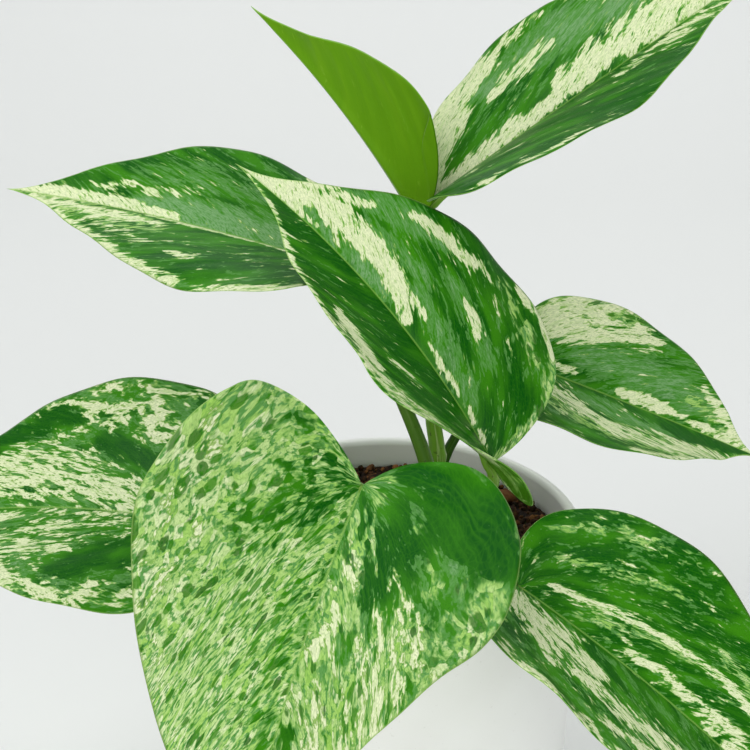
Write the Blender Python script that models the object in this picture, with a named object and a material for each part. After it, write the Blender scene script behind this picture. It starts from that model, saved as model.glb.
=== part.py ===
"""Young variegated pothos in a plain white glazed pot.

Metres, +Z up, origin at the centre of the pot's foot. The viewer stands at -Y:
+X is to the viewer's right. Each leaf blade, each leaf stalk, the stem, the
soil and the pot is one closed solid.
"""

import math
from typing import NamedTuple

import bpy
import numpy as np

MM = 0.001

# ---------------------------------------------------------------- pot and soil
POT_HEIGHT = 105 * MM
POT_RIM_RADIUS = 55 * MM        # outside, at the lip
POT_FOOT_RADIUS = 52 * MM       # outside, where the wall meets the foot's rounding
POT_WALL = 3.5 * MM
POT_FLOOR = 5 * MM
POT_FOOT_ROUNDING = 14 * MM     # outer corner between wall and foot
POT_INNER_ROUNDING = 10 * MM
POT_SEGMENTS = 64

FIT_GAP = 0.3 * MM              # clearance kept between any two touching pieces

SOIL_BELOW_RIM = 8 * MM
SOIL_EDGE_ROUNDING = 1.5 * MM

# ------------------------------------------------------------- stem and stalks
STEM_RADIUS = 2.2 * MM
STEM_TOP_RADIUS = 2.2 * MM
TOP_STALK_RADIUS = 1.2 * MM     # of the two short stalks that stand on the stem's end
TOP_STALK_SPREAD = 1.5 * MM    # from the stem's axis to each of them
STALK_SIDES = 10
STALK_STEP = 5 * MM             # spacing of the rings along a stalk
STALK_UNDER_LEAF = 7 * MM       # length of a long stalk's last stretch, along the leaf
TOP_STALK_UNDER_LEAF = 2.5 * MM # the same on the two short stalks

# ----------------------------------------------------------------------- leaves
BLADE_THICKNESS = 0.8 * MM
BLADE_EDGE_THICKNESS = 0.5 * MM
VEIN_SLOPE = 0.8                # how far a side vein runs forward for each step outward
VEIN_BOW = 0.10                 # how much a side vein curves
LOBE_VEINS = 7
SIDE_VEINS = 14
VEIN_STEPS = 4


class Leaf(NamedTuple):
    """A leaf blade. Left and right are seen from the stalk towards the tip, upper face up."""

    name: str
    junction: tuple             # where the stalk meets the blade, from the soil's centre, mm
    heading: float              # compass direction of the midrib at the junction, from +X
    rise: float                 # its slope above the horizontal
    roll: float                 # positive lifts the right half
    length: float               # junction to tip, mm
    width_left: float           # midrib to margin along the surface, mm
    width_right: float
    lobe_left: float            # how far each basal lobe reaches back, share of the length
    lobe_right: float
    sinus: float                # how open the notch between the lobes is
    widest: float               # place of the widest point, share of the length
    shoulder: float             # how far the blade keeps its width
    taper: float                # how soon it narrows to the drawn-out tip
    droop: float                # how much the slope falls from junction to tip
    sweep: float                # how much the heading changes
    twist: float                # how much the roll changes
    fold_left: float            # how far each half stands up from flat
    fold_right: float
    curl_left: float            # bend of each half between midrib and margin
    curl_right: float
    lobe_dip: float = 0.0       # slope change behind the junction
    cup_left: float = 0.0       # extra fold of the left half towards its lobe


class Stalk(NamedTuple):
    """A leaf stalk from the soil, or from the stem, to the blade of the same name."""

    leaf: str
    foot: tuple                 # where it leaves the soil, from the soil's centre, mm
    waypoints: tuple            # points that it passes, from the soil's centre, mm
    foot_radius: float          # mm
    top_radius: float


LEAVES = (
    Leaf("front", (-6.8, -74.9, 59.6), -113, -30, 23, 101, 42.5, 48, 0.15, 0.10, 0.43,
         0.25, 0.20, 0.02, 2, 12, -48, 17, 22, -15, 20, lobe_dip=27),
    Leaf("centre", (27.3, -22.3, 38.4), 156, 59, 29, 105, 33, 38.5, 0.12, -0.01, 0.29,
         0.27, 0.41, 0.23, 28, 2, 9, 25, 15, 28, -39, lobe_dip=19, cup_left=31),
    Leaf("upper_left", (-18.5, 8.4, 83.9), 166, 13, 11, 90, 32, 30, 0.08, 0.16, 0.26,
         0.29, 0.27, 0.21, 8, 4, 24, 22, 15, -22, -10),
    Leaf("top_right", (12.3, 26.3, 95.5), 1, 37, -11, 108.5, 33.5, 32.5, -0.02, 0.01, 0.30,
         0.29, 0.41, 0.22, 2, 3, -36, 17, 29, -15, -7),
    Leaf("young", (8.8, 25.0, 88.4), 148, 54, -16, 80.5, 25, 18.5, -0.19, -0.19, 0.45,
         0.29, 0.23, 0.26, 26, -10, 6, 83.5, 84, -21, -21),
    Leaf("right", (41.8, 20.9, 46.7), -11, -18, -36, 69, 28.5, 31.6, 0.13, 0.12, 0.29,
         0.32, 0.42, 0.19, 4, 3, 15, 14, 14, -17, 36),
    Leaf("left", (-56.0, -43.8, 33.6), 168, 4, 31, 89.5, 35, 40, 0.16, 0.22, 0.44,
         0.24, 0.33, 0.37, 26, 2, -22, 13, 12, 2, -11, lobe_dip=2),
    Leaf("front_right", (30.5, -78.8, 34.6), -25, -26, -9, 99, 37.5, 36, 0.08, 0.12, 0.16,
         0.27, 0.35, 0.29, 17, 2, -10, 12, 15, 4, 14),
)

STALKS = (
    Stalk("front", (-2, -9, 0), ((-3, -20, 13), (-5, -48, 27)), 2.0, 1.5),
    Stalk("centre", (18, -5, 0), ((22, -10, 10),), 2.2, 1.6),
    Stalk("upper_left", (12.5, -1, 0), ((11.7, 0, 22), (3.5, 3, 45.4), (-7, 6, 66)), 2.6, 1.4),
    Stalk("right", (13.5, 15, 0), ((14.5, 14.8, 13), (19.1, 15.5, 26.4), (29, 19, 38)), 1.8, 1.3),
    Stalk("left", (-8, -7, 0), ((-15, -13, 10), (-33, -27, 28)), 1.9, 1.4),
    Stalk("front_right", (6, -12, 0), ((10, -24, 10), (21, -54, 22)), 1.9, 1.4),
)

STEM_PATH = ((14, 6.5, 0), (14, 8, 24), (12.6, 12, 36), (11.9, 17, 54), (11.7, 22, 70))

SOIL_TOP = POT_HEIGHT - SOIL_BELOW_RIM


# ------------------------------------------------------------------- materials
def material(name, colour, roughness):
    made = bpy.data.materials.new(name)
    made.use_nodes = True
    shader = made.node_tree.nodes["Principled BSDF"]
    shader.inputs["Base Color"].default_value = (*colour, 1.0)
    shader.inputs["Roughness"].default_value = roughness
    made.diffuse_color = (*colour, 1.0)
    return made


def solid(name, vertices, faces, finish):
    mesh = bpy.data.meshes.new(name)
    mesh.from_pydata([tuple(v) for v in vertices], [], [tuple(f) for f in faces])
    mesh.validate()
    mesh.update()
    mesh.materials.append(finish)
    made = bpy.data.objects.new(name, mesh)
    bpy.context.scene.collection.objects.link(made)
    return made


# ------------------------------------------------------------- turned solids
def arc(centre_r, centre_z, radius, start, end, steps):
    """Points of an arc in the (r, z) half plane, angles in degrees."""
    return [(centre_r + radius * math.cos(math.radians(a)),
             centre_z + radius * math.sin(math.radians(a)))
            for a in np.linspace(start, end, steps)]


def turned(name, profile, segments, finish):
    """Turns a profile that starts and ends on the axis, outer face anticlockwise in (r, z)."""
    ring = [p for p in profile[1:-1]]
    vertices = [(0, 0, profile[0][1])]
    for r, z in ring:
        for k in range(segments):
            a = 2 * math.pi * k / segments
            vertices.append((r * math.cos(a), r * math.sin(a), z))
    vertices.append((0, 0, profile[-1][1]))
    faces = []
    last = len(vertices) - 1
    for k in range(segments):
        n = (k + 1) % segments
        faces.append((0, 1 + n, 1 + k))
        for j in range(len(ring) - 1):
            a, b = 1 + j * segments, 1 + (j + 1) * segments
            faces.append((a + k, a + n, b + n, b + k))
        base = 1 + (len(ring) - 1) * segments
        faces.append((base + k, base + n, last))
    return solid(name, vertices, faces, finish)


def wall_radius(z):
    """Outside radius of the pot's straight wall at height z."""
    share = (z - POT_FOOT_ROUNDING) / (POT_HEIGHT - POT_FOOT_ROUNDING)
    return POT_FOOT_RADIUS + (POT_RIM_RADIUS - POT_FOOT_RADIUS) * share


def pot():
    lip = POT_WALL / 2
    inner_corner_z = POT_FLOOR + POT_INNER_ROUNDING
    inner_corner_r = wall_radius(inner_corner_z) - POT_WALL - POT_INNER_ROUNDING
    profile = [(0, 0)]
    profile += arc(POT_FOOT_RADIUS - POT_FOOT_ROUNDING, POT_FOOT_ROUNDING,
                   POT_FOOT_ROUNDING, -90, 0, 9)
    profile += arc(POT_RIM_RADIUS - lip, POT_HEIGHT - lip, lip, 0, 180, 9)
    profile += [(p[0], p[1]) for p in arc(inner_corner_r, inner_corner_z,
                                          POT_INNER_ROUNDING, 0, -90, 7)]
    profile.append((0, POT_FLOOR))
    return turned("pot", profile, POT_SEGMENTS, material("glaze_white", (0.86, 0.86, 0.85), 0.2))


def soil():
    """The potting mix, from the pot's floor to its own level surface."""
    low = POT_FLOOR + FIT_GAP
    corner = POT_INNER_ROUNDING
    low_r = wall_radius(low + corner) - POT_WALL - FIT_GAP - corner
    top_r = wall_radius(SOIL_TOP) - POT_WALL - FIT_GAP * 1.5
    profile = [(0, low)]
    profile += arc(low_r, low + corner, corner, -90, 0, 7)
    profile += arc(top_r - SOIL_EDGE_ROUNDING, SOIL_TOP - SOIL_EDGE_ROUNDING,
                   SOIL_EDGE_ROUNDING, 0, 90, 4)
    profile.append((0, SOIL_TOP))
    return turned("soil", profile, POT_SEGMENTS, material("potting_mix", (0.06, 0.035, 0.02), 0.9))


# ------------------------------------------------------------------ leaf shape
def bezier(p0, p1, p2, p3, t):
    t = np.asarray(t)[:, None]
    p0, p1, p2, p3 = (np.array(p, float) for p in (p0, p1, p2, p3))
    return ((1 - t) ** 3 * p0 + 3 * (1 - t) ** 2 * t * p1
            + 3 * (1 - t) * t ** 2 * p2 + t ** 3 * p3)


def margin(leaf, width, lobe):
    """Margin of one half on the flattened leaf: x along the midrib, y outward."""
    length, wide = leaf.length, leaf.widest * leaf.length
    t = np.linspace(0, 1, 160)
    basal = bezier((0, 0), (-1.5 * lobe * length, leaf.sinus * width),
                   (-1.15 * lobe * length, width), (wide, width), t)
    outer = bezier((wide, width), (wide + leaf.shoulder * length, width),
                   ((1 - leaf.taper) * length, 0.30 * leaf.taper * width), (length, 0), t)
    return np.concatenate([basal, outer[1:]])


def side_veins(leaf, width, lobe):
    """Start and end of each side vein of one half, from the notch to the tip."""
    edge = margin(leaf, width, lobe)
    start = edge[:, 0] - VEIN_SLOPE * edge[:, 1]
    widest = start[len(edge) // 2]
    first = int(np.nonzero(start <= max(0.0, widest))[0][-1])
    start = (start - start[first]) / (leaf.length - start[first])
    steps = np.linalg.norm(np.diff(edge[: first + 1], axis=0), axis=1)
    run = np.concatenate([[0], np.cumsum(steps)]) / steps.sum()
    veins = []
    for share in np.arange(1, LOBE_VEINS + 1) / LOBE_VEINS:
        end = [np.interp(share, run, edge[: first + 1, k]) for k in (0, 1)]
        veins.append((0.0, end, share))
    for share in np.arange(1, SIDE_VEINS) / SIDE_VEINS:
        end = [np.interp(share, start[first:], edge[first:, k]) for k in (0, 1)]
        veins.append((leaf.length * share, end, 1.0))
    return veins


def vein_points(start, end, bow_share):
    """Points of a vein from the midrib to the margin, without the midrib point."""
    a, b = np.array([start, 0.0]), np.array(end)
    control = (a + b) / 2 - np.array([VEIN_BOW * bow_share * np.linalg.norm(b - a), 0])
    t = (np.arange(1, VEIN_STEPS + 1) / VEIN_STEPS)[:, None]
    return (1 - t) ** 2 * a + 2 * (1 - t) * t * control + t ** 2 * b


def midrib_frames(leaf, x):
    """Point, forward, rightward and upward direction of the midrib at each x."""
    stations = np.linspace(-0.5 * leaf.length, leaf.length, 601)
    u = stations / leaf.length
    ahead, behind = np.clip(u, 0, 1), np.clip(-u, 0, 1)
    slope = np.radians(leaf.rise - leaf.droop * ahead + leaf.lobe_dip * behind)
    turn = np.radians(leaf.heading + leaf.sweep * ahead)
    forward = np.stack([np.cos(slope) * np.cos(turn), np.cos(slope) * np.sin(turn),
                        np.sin(slope)], -1)
    step = stations[1] - stations[0]
    path = np.concatenate([np.zeros((1, 3)),
                           np.cumsum((forward[1:] + forward[:-1]) / 2 * step, axis=0)])
    level = np.cross(forward, [0, 0, 1.0])
    level /= np.linalg.norm(level, axis=1)[:, None]
    upright = np.cross(level, forward)
    roll = np.radians(leaf.roll + leaf.twist * ahead)[:, None]
    right = np.cos(roll) * level + np.sin(roll) * upright
    up = -np.sin(roll) * level + np.cos(roll) * upright

    def at(values):
        return np.stack([np.interp(x, stations, values[:, k]) for k in range(3)], -1)

    origin = [np.interp(0, stations, path[:, k]) for k in range(3)]
    return at(path) - origin + np.array(leaf.junction), at(forward), at(right), at(up)


def on_leaf(leaf, x, y):
    """Middle surface of the blade, in mm from the soil's centre; y is positive to the right."""
    point, _, right, up = midrib_frames(leaf, x)
    h, is_right = np.abs(y), y >= 0
    side = np.where(is_right, 1.0, -1.0)
    width = np.where(is_right, leaf.width_right, leaf.width_left)
    fold = np.radians(np.where(is_right, leaf.fold_right, leaf.fold_left))
    cup = np.radians(np.where(is_right, 0.0, leaf.cup_left))
    fold = fold + cup * np.clip((0.40 - x / leaf.length) / 0.40, 0, 1.5) ** 1.5
    bend = np.radians(np.where(is_right, leaf.curl_right, leaf.curl_left)) * h / (2 * width)
    chord = h * np.sinc(bend / np.pi)
    out, lift = side * chord * np.cos(fold + bend), chord * np.sin(fold + bend)
    return point + right * out[:, None] + up * lift[:, None]


def surface_normal(leaf, x, y):
    """Upward unit normal; on the midrib the mean of both halves."""
    step = 0.05
    total = np.zeros((len(x), 3))
    for side in (-1.0, 1.0):
        on_rib = np.abs(y) < 1e-6
        yy = np.where(on_rib, side * 2 * step, y)
        along = on_leaf(leaf, x + step, yy) - on_leaf(leaf, x - step, yy)
        across = on_leaf(leaf, x, yy + step) - on_leaf(leaf, x, yy - step)
        normal = np.cross(across, along)
        total += normal / np.linalg.norm(normal, axis=1)[:, None]
    return total / np.linalg.norm(total, axis=1)[:, None]


def blade(leaf, finish):
    """One leaf blade as a thin closed solid, meshed along its side veins."""
    flat = [(0.0, 0.0)] + [(leaf.length * k / SIDE_VEINS, 0.0) for k in range(1, SIDE_VEINS)]
    flat.append((leaf.length, 0.0))
    rim_share = [0.0] * len(flat)
    tip = len(flat) - 1
    faces, loop = [], []
    for side, width, lobe in ((1, leaf.width_right, leaf.lobe_right),
                              (-1, leaf.width_left, leaf.lobe_left)):
        rows = []
        for start, end, bow_share in side_veins(leaf, width, lobe):
            root = int(round(start / leaf.length * SIDE_VEINS))
            row = [root]
            for k, (x, y) in enumerate(vein_points(start, end, bow_share)):
                row.append(len(flat))
                flat.append((x, side * y))
                rim_share.append((k + 1) / VEIN_STEPS)
            rows.append(row)
        found = []
        for near, far in zip(rows[:-1], rows[1:]):
            for k in range(VEIN_STEPS):
                found.append((near[k], far[k], far[k + 1], near[k + 1]))
        for k in range(VEIN_STEPS):
            found.append((rows[-1][k], tip, rows[-1][k + 1]))
        found = [tuple(dict.fromkeys(f)) for f in found]
        faces += [f[::-1] if side > 0 else f for f in found]
        edge = rows[0] + [row[-1] for row in rows[1:]] + [tip]
        loop.append(edge)
    boundary = loop[0][:-1] + [tip] + loop[1][::-1][1:-1]
    flat = np.array(flat)
    middle = on_leaf(leaf, flat[:, 0], flat[:, 1])
    normal = surface_normal(leaf, flat[:, 0], flat[:, 1])
    share = np.array(rim_share)[:, None]
    half = (BLADE_THICKNESS * (1 - share) + BLADE_EDGE_THICKNESS * share) / 2
    lift = np.array([0, 0, SOIL_TOP])
    upper = middle * MM + normal * half + lift
    lower = middle * MM - normal * half + lift
    count = len(flat)
    closed = [tuple(f) for f in faces] + [tuple(i + count for i in f[::-1]) for f in faces]
    for a, b in zip(boundary, boundary[1:] + boundary[:1]):
        closed.append((a, a + count, b + count, b))
    return solid("leaf_" + leaf.name, np.concatenate([upper, lower]), closed, finish)


# ---------------------------------------------------------------- stalk shape
def smooth_path(points, step):
    """Evenly stepped points of a Catmull-Rom curve through the given points."""
    p = np.array(points, float)
    p = np.concatenate([[2 * p[0] - p[1]], p, [2 * p[-1] - p[-2]]])
    fine = []
    for k in range(1, len(p) - 2):
        for t in np.linspace(0, 1, 40, endpoint=False):
            fine.append(0.5 * (2 * p[k] + (p[k + 1] - p[k - 1]) * t
                               + (2 * p[k - 1] - 5 * p[k] + 4 * p[k + 1] - p[k + 2]) * t ** 2
                               + (3 * p[k] - p[k - 1] - 3 * p[k + 1] + p[k + 2]) * t ** 3))
    fine.append(p[-2])
    fine = np.array(fine)
    run = np.concatenate([[0], np.cumsum(np.linalg.norm(np.diff(fine, axis=0), axis=1))])
    count = max(4, int(round(run[-1] / step)) + 1)
    even = np.linspace(0, run[-1], count)
    return np.stack([np.interp(even, run, fine[:, k]) for k in range(3)], -1)


def round_bar(name, path, radii, flat_foot, finish):
    """A round bar along a path; a flat foot is cut level, any other end is cut square."""
    tangent = np.gradient(path, axis=0)
    tangent /= np.linalg.norm(tangent, axis=1)[:, None]
    if flat_foot:
        tangent[0] = (0, 0, 1)
    across = np.cross(tangent[0], [0, 1.0, 0])
    vertices, faces = [], []
    for point, along, radius in zip(path, tangent, radii):
        across = across - along * (across @ along)
        across /= np.linalg.norm(across)
        other = np.cross(along, across)
        for k in range(STALK_SIDES):
            a = 2 * math.pi * k / STALK_SIDES
            vertices.append(point + radius * (math.cos(a) * across + math.sin(a) * other))
    rings = len(path)
    for j in range(rings - 1):
        for k in range(STALK_SIDES):
            n = (k + 1) % STALK_SIDES
            a, b = j * STALK_SIDES, (j + 1) * STALK_SIDES
            faces.append((a + k, a + n, b + n, b + k))
    faces.append(tuple(range(STALK_SIDES))[::-1])
    faces.append(tuple((rings - 1) * STALK_SIDES + k for k in range(STALK_SIDES)))
    return solid(name, vertices, faces, finish)


def leaf_seat(leaf, radius, stretch):
    """Last two points of a stalk's axis, which end it just under the midrib, in metres.

    A blade that rises is met from behind, and one that hangs from below.
    """
    point, forward, _, up = (v[0] for v in midrib_frames(leaf, np.array([0.0])))
    behind = min(1.0, max(0.0, 0.5 + leaf.rise / 60))
    beneath = 1.05 - 0.6 * behind
    # The end's edge reaches up by this much of the radius when the stalk comes in askew.
    askew = behind / math.hypot(behind, beneath)
    end = point * MM - up * (BLADE_THICKNESS / 2 + FIT_GAP + radius * askew)
    return end - (forward * behind + up * beneath) * stretch, end


def stalk(spec, leaf, finish):
    lead, end = leaf_seat(leaf, spec.top_radius * MM, STALK_UNDER_LEAF)
    foot = np.array(spec.foot) * MM + (0, 0, FIT_GAP)
    points = [foot] + [np.array(w) * MM for w in spec.waypoints] + [lead, end]
    path = smooth_path(points, STALK_STEP) + (0, 0, SOIL_TOP)
    share = np.linspace(0, 1, len(path))
    radii = (spec.foot_radius + (spec.top_radius - spec.foot_radius) * share ** 0.6) * MM
    return round_bar("stalk_" + spec.leaf, path, radii, True, finish)


def stem(finish):
    """The upright stem; gives its end point and its direction there."""
    points = [np.array(p) * MM for p in STEM_PATH]
    points[0] = points[0] + (0, 0, FIT_GAP)
    path = smooth_path(points, STALK_STEP)
    radii = np.linspace(STEM_RADIUS, STEM_TOP_RADIUS, len(path))
    round_bar("stem", path + (0, 0, SOIL_TOP), radii, True, finish)
    along = path[-1] - path[-2]
    return path[-1], along / np.linalg.norm(along)


def main():
    for old in list(bpy.data.objects):
        bpy.data.objects.remove(old)
    pot()
    soil()
    blade_green = material("leaf_green", (0.09, 0.30, 0.05), 0.35)
    young_green = material("young_leaf_green", (0.25, 0.42, 0.04), 0.35)
    stalk_green = material("stalk_green", (0.20, 0.33, 0.05), 0.45)
    by_name = {leaf.name: leaf for leaf in LEAVES}
    for leaf in LEAVES:
        blade(leaf, young_green if leaf.name == "young" else blade_green)
    for spec in STALKS:
        stalk(spec, by_name[spec.leaf], stalk_green)
    top, along = stem(stalk_green)
    # The stem's two top leaves have short stalks, side by side on its end.
    for name, side in (("top_right", (1.0, 0.1, 0.0)), ("young", (-1.0, -0.1, 0.0))):
        lead, end = leaf_seat(by_name[name], TOP_STALK_RADIUS, TOP_STALK_UNDER_LEAF)
        first = top + along * FIT_GAP * 1.5 + np.array(side) * TOP_STALK_SPREAD
        points = [first, first + along * TOP_STALK_RADIUS * 2, lead, end]
        path = smooth_path(points, STALK_STEP / 2) + (0, 0, SOIL_TOP)
        round_bar("stalk_" + name, path, np.full(len(path), TOP_STALK_RADIUS), False, stalk_green)


main()
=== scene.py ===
"""A variegated pothos in a white glazed pot: finishes, leaves, stalks, soil and a plain studio."""

import math
from typing import NamedTuple

import bpy
import numpy as np
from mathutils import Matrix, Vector, noise


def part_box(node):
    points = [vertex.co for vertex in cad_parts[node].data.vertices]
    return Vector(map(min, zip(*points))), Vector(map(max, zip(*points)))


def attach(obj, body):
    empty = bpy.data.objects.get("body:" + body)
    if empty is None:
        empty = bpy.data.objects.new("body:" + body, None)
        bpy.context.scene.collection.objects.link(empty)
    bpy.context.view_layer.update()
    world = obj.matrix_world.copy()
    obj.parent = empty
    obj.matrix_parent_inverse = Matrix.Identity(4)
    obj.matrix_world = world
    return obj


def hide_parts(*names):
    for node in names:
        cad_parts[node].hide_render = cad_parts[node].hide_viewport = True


bl_info = {
    "name": "Potted Pothos",
    "version": (1, 0, 0),
    "blender": (4, 5, 0),
    "location": "View3D > Sidebar > Pothos",
    "description": "Builds a variegated pothos in a glazed pot round its CAD frame",
    "category": "Add Mesh",
}

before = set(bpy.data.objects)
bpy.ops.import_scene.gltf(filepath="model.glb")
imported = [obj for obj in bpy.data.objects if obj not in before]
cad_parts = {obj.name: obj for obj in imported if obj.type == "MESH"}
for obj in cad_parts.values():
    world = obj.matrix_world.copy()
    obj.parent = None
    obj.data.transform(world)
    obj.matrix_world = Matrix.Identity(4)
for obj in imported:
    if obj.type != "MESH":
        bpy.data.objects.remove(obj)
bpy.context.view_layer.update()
MM = 0.001

POT_LOW, POT_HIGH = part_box("pot")
SOIL_LOW, SOIL_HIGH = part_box("soil")
SOIL_TOP = SOIL_HIGH[2]
SOIL_RADIUS = (SOIL_HIGH[0] - SOIL_LOW[0]) / 2


# ------------------------------------------------------------------- settings
class PothosPotSettings(bpy.types.PropertyGroup):
    height: bpy.props.FloatProperty(
        name="Height", description="Height of the pot over its lip",
        default=POT_HIGH[2] - POT_LOW[2], unit="LENGTH")
    rim_radius: bpy.props.FloatProperty(
        name="Rim radius", description="Outside radius at the lip",
        default=(POT_HIGH[0] - POT_LOW[0]) / 2, unit="LENGTH")
    foot_radius: bpy.props.FloatProperty(
        name="Foot radius", description="Outside radius above the foot's rounding",
        default=52 * MM, unit="LENGTH")
    wall: bpy.props.FloatProperty(
        name="Wall", description="Thickness of the wall", default=3.5 * MM, unit="LENGTH")
    glaze: bpy.props.FloatVectorProperty(
        name="Glaze", description="Colour of the glaze", subtype="COLOR", size=4,
        default=(0.86, 0.86, 0.83, 1.0))


class PothosSoilSettings(bpy.types.PropertyGroup):
    crumb_size: bpy.props.FloatProperty(
        name="Crumb size", description="Radius of a large crumb",
        default=1.5 * MM, unit="LENGTH")
    crumb_gap: bpy.props.FloatProperty(
        name="Crumb gap", description="Least distance between two crumbs",
        default=1.5 * MM, unit="LENGTH")
    bark_gap: bpy.props.FloatProperty(
        name="Bark gap", description="Least distance between two bark chips",
        default=7 * MM, unit="LENGTH")
    dark: bpy.props.FloatVectorProperty(
        name="Dark", description="Colour of moist peat", subtype="COLOR", size=4,
        default=(0.012, 0.007, 0.004, 1.0))
    light: bpy.props.FloatVectorProperty(
        name="Light", description="Colour of dry coir and bark", subtype="COLOR", size=4,
        default=(0.24, 0.10, 0.035, 1.0))


class PothosLeafSettings(bpy.types.PropertyGroup):
    thickness: bpy.props.FloatProperty(
        name="Thickness", description="Thickness of a blade", default=0.5 * MM, unit="LENGTH")
    deep: bpy.props.FloatVectorProperty(
        name="Deep green", description="Colour of the dark zones", subtype="COLOR", size=4,
        default=(0.001, 0.080, 0.001, 1.0))
    green: bpy.props.FloatVectorProperty(
        name="Green", description="Colour of the lighter zones", subtype="COLOR", size=4,
        default=(0.040, 0.225, 0.003, 1.0))
    # The frosted green stands for grey-green pigment and partly for painted sheen
    frosted: bpy.props.FloatVectorProperty(
        name="Frosted green", description="Colour of the grey-green fringes", subtype="COLOR",
        size=4, default=(0.12, 0.32, 0.08, 1.0))
    lime: bpy.props.FloatVectorProperty(
        name="Lime", description="Colour of the half-pale mottling", subtype="COLOR", size=4,
        default=(0.34, 0.60, 0.11, 1.0))
    cream: bpy.props.FloatVectorProperty(
        name="Cream", description="Colour of the pale patches", subtype="COLOR", size=4,
        default=(0.80, 0.85, 0.53, 1.0))


class PothosStalkSettings(bpy.types.PropertyGroup):
    groove: bpy.props.FloatProperty(
        name="Groove", description="Depth of the groove, as a share of the radius",
        default=0.22, min=0.0, max=0.6)
    swelling: bpy.props.FloatProperty(
        name="Swelling", description="Swelling at the nodes, as a share of the radius",
        default=0.18, min=0.0, max=0.6)
    colour: bpy.props.FloatVectorProperty(
        name="Green", description="Colour of the stalks", subtype="COLOR", size=4,
        default=(0.10, 0.22, 0.015, 1.0))


class PothosStageSettings(bpy.types.PropertyGroup):
    floor: bpy.props.FloatVectorProperty(
        name="Floor", description="Colour of the floor and backdrop", subtype="COLOR", size=4,
        default=(0.80, 0.81, 0.79, 1.0))
    key_power: bpy.props.FloatProperty(
        name="Key light", description="Power of the large soft light", default=4.6, min=0.0)


# ---------------------------------------------------------------- design values
class Leaf(NamedTuple):
    """One leaf blade. Angles are in degrees, lengths in mm, shares are of the length."""

    name: str
    junction: tuple             # where the blade meets its stalk, from the soil's centre
    heading: float              # compass direction of the midrib, from +X towards +Y
    rise: float                 # slope of the midrib at the junction
    roll: float                 # turn about the midrib
    length: float
    width_left: float           # midrib to margin along the surface
    width_right: float
    lobe_left: float            # how far each basal lobe reaches back
    lobe_right: float
    sinus: float                # how open the notch between the lobes is
    widest: float               # where the margin stands out furthest
    shoulder: float             # how far on the blade keeps that width
    taper: float                # how bluntly it closes in on the tip
    droop: float                # slope that the midrib loses by the tip
    sweep: float                # heading that it gains by the tip
    twist: float                # roll that it gains by the tip
    fold_left: float            # slope of each half away from the midrib
    fold_right: float
    curl_left: float            # bend across each half, from midrib to margin
    curl_right: float
    lobe_dip: float = 0.0       # how steeply the lobes drop behind the junction
    cup_left: float = 0.0       # fold that the left half gains towards the junction


LEAVES = (
    Leaf("front", (-6.8, -74.9, 59.6), -113, -30, 23, 101, 42.5, 48, 0.15, 0.10, 0.43,
         0.25, 0.20, 0.02, 2, 12, -48, 17, 22, -15, 20, lobe_dip=27),
    Leaf("centre", (27.3, -22.3, 38.4), 156, 59, 29, 105, 33, 38.5, 0.12, -0.01, 0.29,
         0.27, 0.41, 0.23, 28, 2, 9, 25, 15, 28, -39, lobe_dip=19, cup_left=31),
    Leaf("upper_left", (-18.5, 8.4, 83.9), 166, 13, 11, 90, 32, 30, 0.08, 0.16, 0.26,
         0.29, 0.27, 0.21, 8, 4, 24, 22, 15, -22, -10),
    Leaf("top_right", (12.3, 26.3, 95.5), 1, 37, -11, 108.5, 33.5, 32.5, -0.02, 0.01, 0.30,
         0.29, 0.41, 0.22, 2, 3, -36, 17, 29, -15, -7),
    Leaf("young", (8.8, 25.0, 88.4), 148, 54, -16, 80.5, 25, 18.5, -0.19, -0.19, 0.45,
         0.29, 0.23, 0.26, 26, -10, 6, 83.5, 84, -21, -21),
    Leaf("right", (41.8, 20.9, 46.7), -11, -18, -36, 69, 28.5, 31.6, 0.13, 0.12, 0.29,
         0.32, 0.42, 0.19, 4, 3, 15, 14, 14, -17, 36),
    Leaf("left", (-56.0, -43.8, 33.6), 168, 4, 31, 89.5, 35, 40, 0.16, 0.22, 0.44,
         0.24, 0.33, 0.37, 26, 2, -22, 13, 12, 2, -11, lobe_dip=2),
    Leaf("front_right", (30.5, -78.8, 34.6), -25, -26, -9, 99, 37.5, 36, 0.08, 0.12, 0.16,
         0.27, 0.35, 0.29, 17, 2, -10, 12, 15, 4, 14),
)
LEAF_NAMED = {leaf.name: leaf for leaf in LEAVES}


class Stalk(NamedTuple):
    """A stalk's way to its blade, in mm from the soil's centre, and its radii in mm."""

    points: tuple
    foot_radius: float
    top_radius: float
    # A low tone is partly painted shade: the stalks that lie in shadow have the lowest tones
    tone: float                 # from dark, 0, to pale, 1


# Each stalk's tone is partly its own green and partly painted shade for the stalks in shadow
STALKS = {
    "front": Stalk(((-2, -9, 0), (-3, -20, 13), (-5, -48, 27)), 2.0, 1.5, 0.5),
    "centre": Stalk(((18, -5, 0), (22, -10, 10)), 2.2, 1.6, 0.75),
    "upper_left": Stalk(((12.5, -1, 0), (11.7, 0, 22), (3.5, 3, 45.4), (-7, 6, 66)),
                        2.6, 1.4, 0.3),
    "right": Stalk(((13.5, 15, 0), (14.5, 14.8, 13), (19.1, 15.5, 26.4), (29, 19, 38)),
                   1.8, 1.3, 0.0),
    "left": Stalk(((-8, -7, 0), (-15, -13, 10), (-33, -27, 28)), 1.9, 1.4, 0.5),
    "front_right": Stalk(((6, -12, 0), (10, -24, 10), (21, -54, 22)), 1.9, 1.4, 0.5),
    "top_right": Stalk(((12.3, 22.2, 67), (13.1, 22.9, 74)), 1.9, 1.2, 0.85),
    "young": Stalk(((10.7, 21.9, 67), (10.6, 22.6, 74)), 1.9, 1.2, 0.85),
}
ON_STEM = ("top_right", "young")        # stalks that leave the stem and not the soil
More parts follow.
